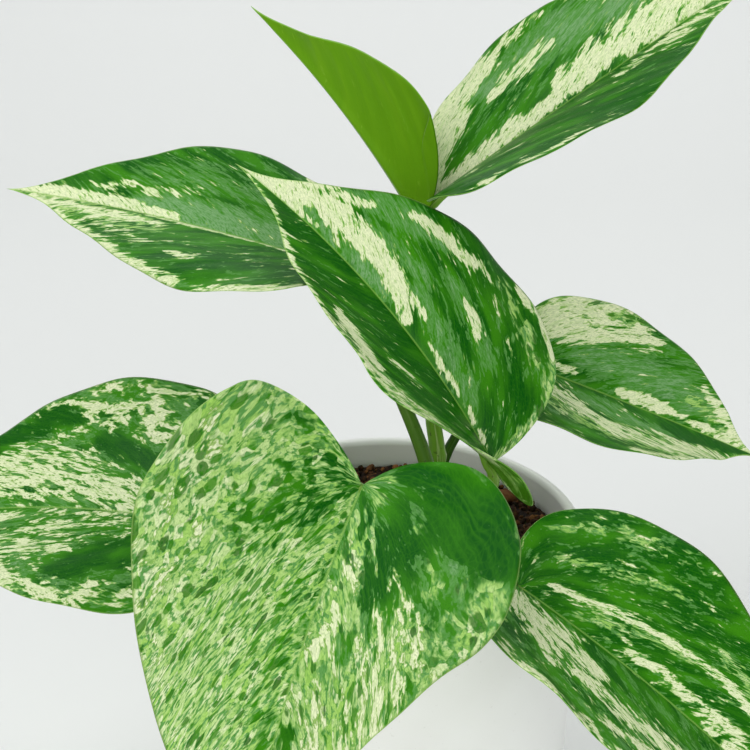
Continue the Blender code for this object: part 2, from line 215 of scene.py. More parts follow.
STEM = Stalk(((14, 6.5, -1), (14, 8, 24), (12.6, 12, 36), (11.9, 17, 54), (11.7, 22, 70)),
             2.4, 2.1, 0.9)
STEM_NODE_SPACING = 26.0                # mm
STEM_END = 0.97                         # share of the stem after which it narrows
STALK_NODE_SPACING = 400.0              # mm, so long that a stalk swells at its foot only
STALK_END = 8.0                         # mm over which a stalk narrows under its blade
STALK_STEP = 0.8                        # mm between two points of a swept path
SPAN_STEPS = 40                         # between two given points, before they are evened
ROOTED = 1.0                            # mm that a stalk's foot reaches into the soil


class Patch(NamedTuple):
    """A spindle of one pigment on a blade.

    u runs along the midrib, 0 at the junction and 1 at the tip; r runs from the midrib, 0, to
    the margin, 1. The right side is on the right of one who looks from junction to tip.
    """

    side: str
    u0: float
    r0: float
    u1: float
    r1: float
    width: float                # half width in mm
    gain: float = 1.0
    kind: str = "cream"


class Marking(NamedTuple):
    """Overall pigments, each as (left half, right half), and patches of a blade."""

    cream: tuple
    lime: tuple
    # frost is grey-green pigment and partly painted sheen
    frost: tuple
    patches: tuple
    fineness: tuple = (1.0, 1.0)  # of the mottling, across and along the veins
    left_fineness: float = 1.0    # of the left half, on top of that


# Frost values and frost patches are partly painted sheen on the blades
MARKINGS = {
    "centre": Marking((-0.05, -0.10), (0.0, 0.0), (0.10, 0.22), (
        Patch("R", 1.00, 0.45, 0.72, 0.50, 3.4, 0.95),
        Patch("R", 0.82, 0.46, 0.48, 0.18, 3.0, 0.92),
        Patch("R", 0.60, 0.30, 0.42, 0.05, 2.3, 0.95),
        Patch("R", 0.99, 0.15, 0.74, 0.08, 1.2, 0.8),
        Patch("R", 0.88, 0.22, 0.50, 0.06, 3.0, 0.9, "frost"),
        Patch("R", 0.98, 0.9, 0.78, 0.95, 2.0, 0.8),
        Patch("R", 0.60, 0.80, 0.42, 0.74, 1.9, 0.86),
        Patch("R", 0.44, 0.80, 0.36, 0.78, 1.4, 0.7),
        Patch("R", 0.77, 0.76, 0.68, 0.74, 1.5, 0.75),
        Patch("R", 0.47, 0.20, 0.40, 0.16, 1.4, 0.7),
        Patch("R", 0.36, 0.48, 0.28, 0.40, 1.7, 0.85),
        Patch("R", 0.30, 0.97, 0.12, 0.97, 1.8, 0.75),
        Patch("R", 0.74, 0.78, 0.50, 0.72, 4.0, 0.8, "frost"),
        Patch("R", 0.48, 0.25, 0.16, 0.10, 3.0, 0.75, "frost"),
        Patch("R", 0.44, 0.52, 0.20, 0.36, 3.2, 0.65, "frost"),
        Patch("R", 0.66, 0.46, 0.46, 0.36, 3.2, 0.7, "frost"),
        Patch("R", 0.34, 0.85, 0.12, 0.75, 4.5, 0.45, "lime"),
        Patch("R", 0.14, 0.97, 0.00, 0.95, 2.4, 0.8, "lime"),
        Patch("R", 0.34, 0.07, 0.04, 0.03, 0.9, 0.6),
        Patch("L", 0.54, 0.72, 0.38, 0.74, 2.6, 0.9),
        Patch("L", 0.50, 0.92, 0.05, 0.88, 5.0, 0.55),
        Patch("L", 0.40, 0.90, 0.05, 0.78, 5.0, 0.75, "lime"),
        Patch("L", 0.95, 0.95, 0.50, 0.98, 1.3, 0.6),
        Patch("L", 0.40, 0.45, 0.28, 0.40, 1.6, 0.4),
        Patch("L", 0.02, 0.95, -0.12, 0.5, 5.0, 0.45, "lime"),
        Patch("L", -0.02, 0.2, -0.10, 0.6, 1.4, 0.6),
    )),
    "upper_left": Marking((0.05, 0.0), (0.05, 0.0), (0.20, 0.28), (
        Patch("R", 0.98, 0.15, 0.46, 0.05, 2.0, 1.0),
        Patch("R", 0.60, 0.10, 0.02, 0.12, 4.8, 1.25, "frost"),
        Patch("R", 0.75, 0.45, 0.62, 0.45, 1.8, 0.50),
        Patch("R", 0.58, 0.30, 0.40, 0.42, 1.8, 0.45),
        Patch("R", 0.12, 0.97, -0.08, 0.85, 3.6, 0.9),
        Patch("R", -0.12, 0.6, -0.02, 0.2, 4.6, 0.9),
        Patch("R", 0.60, 0.60, 0.20, 0.50, 6.0, 0.6, "frost"),
        Patch("L", 1.00, 0.5, 0.70, 0.5, 5.5, 0.44),
        Patch("L", 0.90, 0.97, 0.00, 0.97, 2.1, 0.68),
        Patch("L", 0.74, 0.40, 0.50, 0.16, 2.6, 0.66),
        Patch("L", 0.66, 0.62, 0.50, 0.55, 2.0, 0.45),
        Patch("L", 0.42, 0.62, 0.32, 0.56, 1.2, 0.6),
        Patch("L", 0.95, 0.4, 0.50, 0.25, 5.5, 0.72, "lime"),
        Patch("L", 0.55, 0.04, 0.05, 0.03, 1.0, 0.75),
    )),
    "top_right": Marking((0.0, -0.05), (0.05, 0.05), (0.32, 0.10), (
        Patch("L", -0.02, 0.80, 0.30, 0.86, 5.4, 0.86),
        Patch("L", 0.00, 0.45, 0.20, 0.62, 3.0, 0.8),
        Patch("L", 0.30, 0.88, 0.48, 0.95, 2.0, 0.6),
        Patch("L", 0.26, 0.52, 0.46, 0.60, 2.4, 0.75),
        Patch("L", 0.40, 0.45, 0.55, 0.55, 2.0, 0.7, "frost"),
        Patch("L", 0.08, 0.12, 0.30, 0.16, 1.4, 0.6),
        Patch("L", 0.04, 0.05, 0.55, 0.10, 2.0, 0.92),
        Patch("L", 0.42, 0.20, 1.00, 0.24, 4.2, 0.92),
        Patch("L", 0.60, 0.34, 0.95, 0.45, 3.6, 0.8),
        Patch("L", 0.25, 0.62, 0.70, 0.70, 6.0, 0.95, "frost"),
        Patch("L", 0.60, 0.92, 0.85, 0.88, 2.0, 0.6),
        Patch("R", 0.12, 0.95, 0.50, 0.93, 1.2, 0.6),
        Patch("R", 0.70, 0.35, 0.98, 0.30, 4.2, 0.55),
        Patch("R", 0.55, 0.20, 0.72, 0.22, 1.8, 0.5),
        Patch("R", 0.05, 0.25, 0.30, 0.35, 1.4, 0.35),
    )),
    "front": Marking((0.04, -0.05), (0.42, 0.84), (0.50, 0.55), (
        Patch("L", 0.95, 0.45, 0.40, 0.60, 13.0, 0.90, "lime"),
        Patch("L", 0.60, 0.12, 0.14, 0.12, 6.0, 0.85, "lime"),
        Patch("L", 0.20, 0.94, 0.50, 0.85, 9.0, 0.72, "lime"),
        Patch("L", 0.95, 0.50, 0.50, 0.80, 9.0, 0.46),
        Patch("L", 0.60, 0.16, 0.25, 0.14, 5.0, 0.42),
        Patch("L", 0.20, 0.34, 0.56, 0.72, 7.0, 0.44),
        Patch("L", 0.05, 0.30, 0.28, 0.34, 6.0, 0.30, "deep"),
        Patch("L", -0.10, 0.40, 0.10, 0.85, 9.0, 0.46, "deep"),
        Patch("L", 0.64, 0.10, 0.76, 0.14, 3.0, 0.36, "deep"),
        Patch("R", 0.00, 0.10, 0.22, 0.45, 9.0, 0.36, "deep"),
        Patch("R", -0.10, 0.25, -0.05, 0.70, 6.0, 0.26, "deep"),
        Patch("R", 0.60, 0.10, 0.86, 0.20, 6.0, 0.20, "deep"),
        Patch("R", 0.12, 0.05, 0.50, 0.10, 5.0, 0.22, "deep"),
        Patch("R", 0.05, 0.88, 0.60, 0.90, 10.0, 1.08, "lime"),
        Patch("R", 0.10, 0.90, 0.60, 0.92, 7.0, 0.22),
    ), (0.95, 1.2), 0.68),
    "left": Marking((0.32, 0.34), (0.20, 0.24), (0.50, 0.50), (
        Patch("R", 0.10, 0.06, 0.50, 0.35, 6.5, 0.62),
        Patch("R", 0.30, 0.30, 0.80, 0.55, 7.0, 0.60),
        Patch("R", 0.40, 0.12, 0.72, 0.25, 4.0, 0.58),
        Patch("R", 0.00, 0.62, 0.35, 0.80, 7.0, 0.54),
        Patch("R", 0.70, 0.70, 0.95, 0.50, 3.0, 0.6),
        Patch("R", -0.1, 0.75, 0.10, 0.85, 7.0, 0.60, "frost"),
        Patch("R", 0.08, 0.34, 0.26, 0.52, 3.0, 0.5, "deep"),
        Patch("R", 0.36, 0.72, 0.60, 0.85, 3.5, 0.5, "deep"),
        Patch("L", 0.15, 0.10, 0.42, 0.30, 2.4, 0.56),
        Patch("L", 0.25, 0.45, 0.70, 0.62, 4.0, 0.62),
        Patch("L", 0.45, 0.10, 0.95, 0.30, 4.0, 0.60),
        Patch("L", 0.05, 0.88, 0.60, 0.94, 4.0, 0.60),
        Patch("L", 0.05, 0.35, 0.26, 0.66, 4.5, 0.5, "deep"),
    ), (0.85, 1.7)),
    "right": Marking((0.02, 0.02), (0.05, 0.05), (0.45, 0.20), (
        Patch("L", 0.00, 0.80, 0.42, 0.80, 6.0, 0.68),
        Patch("L", -0.10, 0.80, 0.35, 0.90, 6.0, 0.9, "lime"),
        Patch("L", 0.00, 0.48, 0.25, 0.62, 3.4, 0.85),
        Patch("L", -0.1, 0.5, 0.1, 0.95, 5.0, 0.75),
        Patch("L", 0.15, 0.30, 0.75, 0.45, 6.5, 0.9, "frost"),
        Patch("L", 0.36, 0.08, 0.60, 0.12, 1.8, 0.95),
        Patch("L", 0.60, 0.10, 0.95, 0.15, 1.5, 0.7),
        Patch("L", 0.70, 0.75, 0.92, 0.70, 2.0, 0.7),
        Patch("L", 0.65, 0.45, 0.95, 0.45, 3.0, 0.6, "lime"),
        Patch("L", 0.02, 0.08, 0.16, 0.10, 1.3, 0.8),
        Patch("R", 0.02, 0.12, 0.38, 0.48, 2.6, 0.80),
        Patch("R", 0.34, 0.48, 0.80, 0.60, 4.8, 0.66),
        Patch("R", 0.20, 0.50, 0.80, 0.66, 6.0, 0.72, "lime"),
        Patch("R", 0.00, 0.20, 0.18, 0.45, 3.0, 0.8, "lime"),
        Patch("R", 0.20, 0.15, 0.60, 0.30, 3.5, 0.75, "frost"),
        Patch("R", 0.45, 0.95, 0.90, 0.90, 2.2, 0.6),
        Patch("R", 0.60, 0.20, 0.92, 0.30, 3.0, 0.4, "deep"),
    )),
    "front_right": Marking((0.04, 0.12), (0.16, 0.15), (0.22, 0.35), (
        Patch("L", 0.06, 0.16, 0.40, 0.36, 1.3, 0.72),
        Patch("L", 0.40, 0.36, 0.75, 0.62, 1.1, 0.70),
        Patch("L", 0.30, 0.10, 0.95, 0.16, 2.4, 0.64),
        Patch("L", 0.03, 0.40, 0.35, 0.70, 1.2, 0.60, "lime"),
        Patch("L", 0.15, 0.10, 0.50, 0.45, 1.8, 0.62, "lime"),
        Patch("L", 0.45, 0.55, 0.80, 0.80, 2.6, 0.52, "lime"),
        Patch("L", 0.70, 0.40, 0.80, 0.45, 1.2, 0.6),
        Patch("L", 0.0, 0.75, 0.30, 0.92, 2.4, 0.5, "lime"),
        Patch("R", 0.01, 0.22, 0.26, 0.30, 5.2, 0.72),
        Patch("R", 0.02, 0.15, 0.16, 0.55, 3.8, 0.75),
        Patch("R", 0.22, 0.48, 0.80, 0.56, 3.8, 0.64),
        Patch("R", 0.24, 0.10, 0.80, 0.20, 3.4, 0.70, "frost"),
        Patch("R", 0.24, 0.12, 0.60, 0.16, 2.6, 0.35, "deep"),
        Patch("R", 0.05, 0.96, 0.60, 0.97, 1.8, 0.7),
        Patch("R", 0.30, 0.75, 0.65, 0.74, 2.6, 0.62),
        Patch("R", 0.70, 0.50, 0.95, 0.45, 3.4, 0.62),
    ), (1.1, 1.4)),
    "young": Marking((-0.6, -0.6), (-0.5, -0.5), (0.0, 0.0), ()),
}

# Steps of a half's outline and of the midrib, from behind the lobes to the tip.
OUTLINE_STEPS = 400
MIDRIB_STEPS = 601
# Blade mesh: veins from the junction, veins from the midrib, steps along each vein.
FAN_VEINS = 56
SIDE_VEINS = 84
VEIN_STEPS = np.concatenate([[0, 0.012, 0.03], np.linspace(0.055, 0.955, 32), [0.98, 1.0]])
VEIN_SLOPE = 0.8                # how far forward a side vein ends, per mm outward
VEIN_BOW = 0.2                  # bow of a vein, as a share of its length
MAIN_VEIN_SPACING = 8.5         # mm between two raised side veins
GRAIN_LEAN = 1.5                # how soon the side veins turn forward
GRAIN_FAN = 17.0                # mm, where the lobes' veins are as far apart as the others
QUILTING = 0.24                 # mm, rise of the blade between them
MARGIN_WAVE = 0.7               # mm
PATCH_STEPS = 8                 # straight runs of a patch's middle line
FROST_FRINGE = 0.75             # frost round a cream patch, as a share of its strength
WAVE_LENGTHS = (7.5, 3.7)       # mm per radian of the margin's long and short waves
CALM = 12.0                     # mm round the tip and the junction without waves
GROOVE_DEPTH = 0.32             # mm, of the channel over the midrib
GROOVE_WIDTH = 0.8              # mm
KEEL_HEIGHT = 0.9               # mm, of the midrib under the blade
KEEL_WIDTH = 1.2                # mm
MARKS = ("cream", "lime", "frost", "rib", "rim", "grain")


# ------------------------------------------------------------------ leaf shape
def bezier(p0, p1, p2, p3, t):
    t = np.asarray(t)[:, None]
    p0, p1, p2, p3 = (np.array(p, float) for p in (p0, p1, p2, p3))
    return ((1 - t) ** 3 * p0 + 3 * (1 - t) ** 2 * t * p1
            + 3 * (1 - t) * t ** 2 * p2 + t ** 3 * p3)


def margin(leaf, width, lobe):
    """Margin of one half on the flattened leaf: x along the midrib, y outward."""
    length, wide = leaf.length, leaf.widest * leaf.length
    t = np.linspace(0, 1, OUTLINE_STEPS)
    basal = bezier((0, 0), (-1.5 * lobe * length, leaf.sinus * width),
                   (-1.15 * lobe * length, width), (wide, width), t)
    outer = bezier((wide, width), (wide + leaf.shoulder * length, width),
                   ((1 - leaf.taper) * length, 0.30 * leaf.taper * width), (length, 0), t)
    return np.concatenate([basal, outer[1:]])


def vein_ends(leaf, edge):
    """Start on the midrib, end on the margin and bow of every vein of one half."""
    start = edge[:, 0] - VEIN_SLOPE * edge[:, 1]
    widest = start[len(edge) // 2]
    first = int(np.nonzero(start <= max(0.0, widest))[0][-1])
    start = (start - start[first]) / (leaf.length - start[first])
    steps = np.linalg.norm(np.diff(edge[: first + 1], axis=0), axis=1)
    run = np.concatenate([[0], np.cumsum(steps)]) / steps.sum()
    fan = np.arange(1, FAN_VEINS + 1) / FAN_VEINS
    side = np.arange(1, SIDE_VEINS) / SIDE_VEINS
    roots = np.concatenate([np.zeros(FAN_VEINS), leaf.length * side])
    ends = np.stack([np.concatenate([np.interp(fan, run, edge[: first + 1, k]),
                                     np.interp(side, start[first:], edge[first:, k])])
                     for k in (0, 1)], -1)
    bow = np.concatenate([fan, np.ones(SIDE_VEINS - 1)])
    return roots, ends, bow


def vein_grid(roots, ends, bow):
    """Flat x and y of every point of every vein."""
    a = np.stack([roots, np.zeros(len(roots))], -1)[:, None]
    b = ends[:, None]
    reach = np.linalg.norm(b - a, axis=2, keepdims=True)
    control = (a + b) / 2 - reach * bow[:, None, None] * VEIN_BOW * np.array([1.0, 0.0])
    t = VEIN_STEPS[None, :, None]
    return (1 - t) ** 2 * a + 2 * (1 - t) * t * control + t ** 2 * b


def midrib_frames(leaf, x):
    """Point, forward, rightward and upward direction of the midrib at each x."""
    stations = np.linspace(-0.5 * leaf.length, leaf.length, MIDRIB_STEPS)
    u = stations / leaf.length
    ahead, behind = np.clip(u, 0, 1), np.clip(-u, 0, 1)
    slope = np.radians(leaf.rise - leaf.droop * ahead + leaf.lobe_dip * behind)
    turn = np.radians(leaf.heading + leaf.sweep * ahead)
    forward = np.stack([np.cos(slope) * np.cos(turn), np.cos(slope) * np.sin(turn),
                        np.sin(slope)], -1)
    step = stations[1] - stations[0]
    path = np.concatenate([np.zeros((1, 3)),
                           np.cumsum((forward[1:] + forward[:-1]) / 2 * step, axis=0)])
    level = np.cross(forward, [0, 0, 1.0])
    level /= np.linalg.norm(level, axis=1)[:, None]
    upright = np.cross(level, forward)
    roll = np.radians(leaf.roll + leaf.twist * ahead)[:, None]
    right = np.cos(roll) * level + np.sin(roll) * upright
    up = -np.sin(roll) * level + np.cos(roll) * upright

    def at(values):
        return np.stack([np.interp(x, stations, values[:, k]) for k in range(3)], -1)

    origin = [np.interp(0, stations, path[:, k]) for k in range(3)]
    return at(path) - origin + np.array(leaf.junction), at(forward), at(right), at(up)


def on_leaf(leaf, x, y):
    """Middle surface of the blade, in mm from the soil's centre; y is positive to the right."""
    point, _, right, up = midrib_frames(leaf, x)
    h, is_right = np.abs(y), y >= 0
    side = np.where(is_right, 1.0, -1.0)
    width = np.where(is_right, leaf.width_right, leaf.width_left)
    fold = np.radians(np.where(is_right, leaf.fold_right, leaf.fold_left))
    cup = np.radians(np.where(is_right, 0.0, leaf.cup_left))
    fold = fold + cup * np.clip((0.40 - x / leaf.length) / 0.40, 0, 1.5) ** 1.5
    bend = np.radians(np.where(is_right, leaf.curl_right, leaf.curl_left)) * h / (2 * width)
    chord = h * np.sinc(bend / np.pi)
    out, lift = side * chord * np.cos(fold + bend), chord * np.sin(fold + bend)
    return point + right * out[:, None] + up * lift[:, None]


def surface_normal(leaf, x, y):
    """Upward unit normal, softened across the midrib's fold."""
    step, ease = 0.05, 1.2
    total = np.zeros((len(x), 3))
    for side in (-1.0, 1.0):
        share = np.clip(0.5 + side * y / (2 * ease), 0, 1)[:, None]
        yy = side * np.maximum(side * y, 2 * step)
        along = on_leaf(leaf, x + step, yy) - on_leaf(leaf, x - step, yy)
        across = on_leaf(leaf, x, yy + step) - on_leaf(leaf, x, yy - step)
        normal = np.cross(across, along)
        total += share * normal / np.linalg.norm(normal, axis=1)[:, None]
    return total / np.linalg.norm(total, axis=1)[:, None]


# --------------------------------------------------------------- leaf markings
def grain_of(width, x, y):
    """Distance across and along the side veins, in mm, of flat points of one half.

    A vein leaves the midrib at 45 degrees and leans ever more forward. Those of the lobes fan
    out from the junction.
    """
    root = x - y - GRAIN_LEAN * y ** 2 / width
    fanned = root * GRAIN_FAN / np.maximum(y, 0.8)
    across = np.where(root > 0, root, fanned) * math.sin(math.pi / 4)
    along = np.hypot(x - np.maximum(root, 0), y)
    return across, along


def smooth(low, high, value):
    t = np.clip((value - low) / (high - low), 0, 1)
    return t * t * (3 - 2 * t)


def patch_field(leaf, edge, patch, x, y):
    """How strongly a patch marks each flat point of its half, 0 to 1."""
    outer = edge[int(np.argmin(edge[:, 0])):]
    share = np.linspace(0, 1, PATCH_STEPS + 1)
    at = (patch.u0 + (patch.u1 - patch.u0) * share) * leaf.length
    out = (patch.r0 + (patch.r1 - patch.r0) * share) * np.interp(at, outer[:, 0], outer[:, 1])
    best, run = np.full(x.shape, 1e9), np.zeros(x.shape)
    for k in range(PATCH_STEPS):
        dx, dy = at[k + 1] - at[k], out[k + 1] - out[k]
        t = np.clip(((x - at[k]) * dx + (y - out[k]) * dy) / (dx * dx + dy * dy), 0, 1)
        away = np.hypot(x - at[k] - t * dx, y - out[k] - t * dy)
        run = np.where(away < best, (k + t) / PATCH_STEPS, run)
        best = np.minimum(best, away)
    # The spindle is widest in its middle and thins to about half at its ends.
    width = patch.width * (0.45 + 0.55 * np.sin(np.pi * (0.08 + 0.84 * run)))
    return patch.gain * (1 - smooth(0.2, 2.1, best / width))


def pigments(leaf, side, edge, x, y):
    """Cream, lime and frost of each flat point of one half."""
    marking = MARKINGS[leaf.name]
    half = 1 if side > 0 else 0
    field = {kind: np.full(x.shape, getattr(marking, kind)[half])
             for kind in ("cream", "lime", "frost")}
    shade = np.zeros(x.shape)
    for patch in marking.patches:
        if (patch.side == "R") != (side > 0):
            continue
        mark = patch_field(leaf, edge, patch, x, y)
        if patch.kind == "deep":
            shade = np.maximum(shade, mark)
        else:
            field[patch.kind] = np.maximum(field[patch.kind], mark)
            if patch.kind == "cream":
                field["frost"] = np.maximum(field["frost"], FROST_FRINGE * mark)
    return {kind: value - shade for kind, value in field.items()}


# ------------------------------------------------------------------ leaf blade
def blade_half(leaf, side, index):
    """Flat grid, surface points of both faces and attributes of one half of a blade."""
    width = leaf.width_right if side > 0 else leaf.width_left
    lobe = leaf.lobe_right if side > 0 else leaf.lobe_left
    edge = margin(leaf, width, lobe)
    roots, ends, bow = vein_ends(leaf, edge)
    flat = vein_grid(roots, ends, bow)
    x, y = flat[..., 0], flat[..., 1]
    steps = np.linalg.norm(np.diff(flat, axis=1), axis=2)
    along = np.concatenate([np.zeros((len(x), 1)), np.cumsum(steps, axis=1)], axis=1)
    to_margin = along[:, -1:] - along
    across, grain_along = grain_of(width, x, y)
    share = along / np.maximum(along[:, -1:], 1e-6)

    fx, fy = x.ravel(), (side * y).ravel()
    base = on_leaf(leaf, fx, fy).reshape(x.shape + (3,))
    normal = surface_normal(leaf, fx, fy).reshape(x.shape + (3,))

    phase = 1.7 * index + (0.9 if side > 0 else 0.0)
    place = np.cumsum(np.linalg.norm(np.diff(flat[:, -1], axis=0, prepend=0), axis=1))[:, None]
    wave = MARGIN_WAVE * share ** 3 * (np.sin(place / WAVE_LENGTHS[0] + phase)
                                       + 0.6 * np.sin(place / WAVE_LENGTHS[1] + 2.3 * phase))
    calm = np.clip((leaf.length - x) / CALM, 0, 1) * np.clip(along[:, -1:] / CALM, 0, 1)
    veins = np.abs(np.sin(np.pi * across / MAIN_VEIN_SPACING))
    bulge = QUILTING * (veins ** 0.7 - 0.55) * np.clip(4 * share * (1.05 - share), 0, 1)
    lift = (wave * calm + bulge * np.clip(along[:, -1:] / 10, 0, 1))[..., None]

    near_rib = np.clip(1 - x / leaf.length, 0, 1) ** 0.6 * np.clip(1 + x / 3, 0, 1)
    groove = GROOVE_DEPTH * near_rib * np.exp(-(y / GROOVE_WIDTH) ** 2)
    keel = KEEL_HEIGHT * near_rib * np.exp(-(y / KEEL_WIDTH) ** 2)
    settings = bpy.context.scene.pothos_leaf
    half = settings.thickness / MM / 2 * np.sqrt(np.clip(to_margin / 0.5, 0, 1))
    surface = base + normal * lift
    top = surface + normal * (half - groove * np.clip(to_margin / 2, 0, 1))[..., None]
    under = surface - normal * (half + keel * np.clip(to_margin / 3, 0, 1))[..., None]
    marks = pigments(leaf, side, edge, x, y)
    marks["rib"] = y
    marks["rim"] = to_margin
    seed = np.full(x.shape, index * 17.0 + side * 40)
    marking = MARKINGS[leaf.name]
    scale = 1.0 if side > 0 else marking.left_fineness
    fine_across, fine_along = (scale * fineness for fineness in marking.fineness)
    marks["grain"] = np.stack([across * fine_across, grain_along * fine_along, seed], -1)
    return top, under, marks


def blade_mesh(leaf, index):
    """The blade as one closed mesh with its attributes."""
    rows, steps = FAN_VEINS + SIDE_VEINS - 1, len(VEIN_STEPS)
    points, faces = [], []
    fields = {name: [] for name in (*MARKS, "face")}

    def add(point, marks, cell, face):
        points.append(point)
        for name in MARKS:
            fields[name].append(marks[name][cell])
        fields["face"].append(face)
        return len(points) - 1

    halves = {side: blade_half(leaf, side, index) for side in (1, -1)}
    top, under, marks = halves[1]
    # Shared points: the junction and the tip once, the midrib once on each face.
    junction = add((top[0, 0] + under[0, 0]) / 2, marks, (0, 0), 0.5)
    ribs = {}
    for face, sheet in ((1.0, top), (0.0, under)):
        ribs[face] = [add(sheet[FAN_VEINS + k, 0], marks, (FAN_VEINS + k, 0), face)
                      for k in range(SIDE_VEINS - 1)]
    tip_place = on_leaf(leaf, np.array([leaf.length]), np.array([0.0]))[0]
    tip = add(tip_place, marks, (rows - 1, steps - 1), 0.5)

    for side, (top, under, marks) in halves.items():
        border = {}
        for face, sheet in ((1.0, top), (0.0, under)):
            grid = []
            for row in range(rows):
                root = junction if row < FAN_VEINS else ribs[face][row - FAN_VEINS]
                line = [root]
                for step in range(1, steps):
                    if row == 0 or step == steps - 1:
                        if (row, step) not in border:
                            edge_point = (top[row, step] + under[row, step]) / 2
                            border[row, step] = add(edge_point, marks, (row, step), 0.5)
                        line.append(border[row, step])
                    else:
                        line.append(add(sheet[row, step], marks, (row, step), face))
                grid.append(line)
            found = []
            for near, far in zip(grid[:-1], grid[1:]):
                for k in range(steps - 1):
                    found.append((near[k], near[k + 1], far[k + 1], far[k]))
            for k in range(steps - 1):
                found.append((grid[-1][k], grid[-1][k + 1], tip))
            outward = (side > 0) == (face > 0.5)
            for loop in found:
                loop = tuple(dict.fromkeys(loop))
                faces.append(loop if outward else loop[::-1])

    mesh = bpy.data.meshes.new("blade_" + leaf.name)
    places = np.array(points) * MM + (0, 0, SOIL_TOP)
    mesh.from_pydata(places.tolist(), [], faces)
    for name, values in fields.items():
        kind = "FLOAT_VECTOR" if name == "grain" else "FLOAT"
        layer = mesh.attributes.new(name, kind, "POINT")
        layer.data.foreach_set("vector" if name == "grain" else "value",
                               np.array(values, np.float32).ravel())
    mesh.shade_smooth()
    mesh.update()
    return mesh


# -------------------------------------------------------------- node building
class Graph:
    """Short ways to add nodes to a tree and to link them."""

    def __init__(self, tree):
        self.tree = tree

    def add(self, kind, **settings):
        node = self.tree.nodes.new(kind)
        for name, value in settings.items():
            setattr(node, name, value)
        return node

    def put(self, socket, value):
        if isinstance(value, bpy.types.NodeSocket):
            self.tree.links.new(value, socket)
        else:
            socket.default_value = value

    def math(self, operation, *values, clamp=False):
        node = self.add("ShaderNodeMath", operation=operation, use_clamp=clamp)
        for socket, value in zip(node.inputs, values):
            self.put(socket, value)
        return node.outputs[0]

    def vector(self, operation, *values):
        node = self.add("ShaderNodeVectorMath", operation=operation)
        for socket, value in zip(node.inputs, values):
            self.put(socket, value)
        return node.outputs[0]

    def noise(self, vector, scale=1.0, detail=2.0, rough=0.5, colour=False):
        node = self.add("ShaderNodeTexNoise")
        self.put(node.inputs["Vector"], vector)
        node.inputs["Scale"].default_value = scale
        node.inputs["Detail"].default_value = detail
        node.inputs["Roughness"].default_value = rough
        return node.outputs["Color" if colour else "Fac"]

    def mask(self, value, low, high):
        node = self.add("ShaderNodeMapRange", interpolation_type="SMOOTHSTEP")
        for socket, number in zip(node.inputs, (value, low, high, 0.0, 1.0)):
            self.put(socket, number)
        return node.outputs[0]

    def mix(self, factor, a, b):
        # A Mix node has a pair of inputs for each type, and 6 and 7 are the colours.
        node = self.add("ShaderNodeMix", data_type="RGBA")
        self.put(node.inputs[0], factor)
        self.put(node.inputs[6], a)
        self.put(node.inputs[7], b)
        return node.outputs[2]

    def attribute(self, name, output="Fac"):
        return self.add("ShaderNodeAttribute", attribute_name=name).outputs[output]

    def group(self, tree, **values):
        node = self.add("ShaderNodeGroup", node_tree=tree)
        for name, value in values.items():
            self.put(node.inputs[name.replace("_", " ")], value)
        return node.outputs

    def bump(self, height, strength, distance):
        node = self.add("ShaderNodeBump")
        node.inputs["Strength"].default_value = strength
        node.inputs["Distance"].default_value = distance
        self.put(node.inputs["Height"], height)
        return node.outputs["Normal"]

    def scaled(self, vector, factor):
        node = self.add("ShaderNodeVectorMath", operation="SCALE")
        self.put(node.inputs[0], vector)
        self.put(node.inputs["Scale"], factor)
        return node.outputs[0]

    def split(self, vector):
        node = self.add("ShaderNodeSeparateXYZ")
        self.put(node.inputs[0], vector)
        return node.outputs

    def joined(self, x, y, z=0.0):
        node = self.add("ShaderNodeCombineXYZ")
        for socket, value in zip(node.inputs, (x, y, z)):
            self.put(socket, value)
        return node.outputs[0]

    def store(self, geometry, name, value, domain="POINT"):
        node = self.add("GeometryNodeStoreNamedAttribute", data_type="FLOAT", domain=domain)
        self.put(node.inputs["Geometry"], geometry)
        node.inputs["Name"].default_value = name
        self.put(node.inputs["Value"], value)
        return node.outputs[0]


def shader_group(name, inputs, outputs):
    """A shader group with (name, socket type, default) inputs; gives it with its two ends."""
    tree = bpy.data.node_groups.new(name, "ShaderNodeTree")
    for label, kind, default in inputs:
        socket = tree.interface.new_socket(label, in_out="INPUT", socket_type=kind)
        socket.default_value = default
    for label, kind in outputs:
        tree.interface.new_socket(label, in_out="OUTPUT", socket_type=kind)
    graph = Graph(tree)
    return tree, graph, graph.add("NodeGroupInput").outputs, graph.add("NodeGroupOutput").inputs


def new_material(name):
    made = bpy.data.materials.new(name)
    made.use_nodes = True
    return made, Graph(made.node_tree), made.node_tree.nodes["Principled BSDF"]


FLOAT, COLOUR, VECTOR = "NodeSocketFloat", "NodeSocketColor", "NodeSocketVector"

# Colours of the finer details, beside those in the settings.
OLIVE = (0.24, 0.42, 0.05, 1)               # yellowish fringe of a cream patch
# Painted silvery sheen on the strongest frost
SILVER_SHEEN = (0.34, 0.52, 0.30, 1)              # palest grey-green
YOUNG_DEEP = (0.085, 0.25, 0.001, 1)
YOUNG_GREEN = (0.13, 0.31, 0.004, 1)
YOUNG_FROST = (0.20, 0.38, 0.03, 1)
YOUNG_UNDERSIDE = (0.14, 0.32, 0.01, 1)
UNDERSIDE = (0.12, 0.33, 0.015, 1)
MIDRIB = (0.24, 0.46, 0.08, 1)
LEAF_RIM = (0.34, 0.58, 0.14, 1)
GLAZE_CLOUD = (0.82, 0.815, 0.78, 1)
GLAZE_PIT = (0.55, 0.53, 0.48, 1)
BARE_CLAY = (0.62, 0.56, 0.47, 1)
MOIST_SPOT = (0.045, 0.022, 0.010, 1)
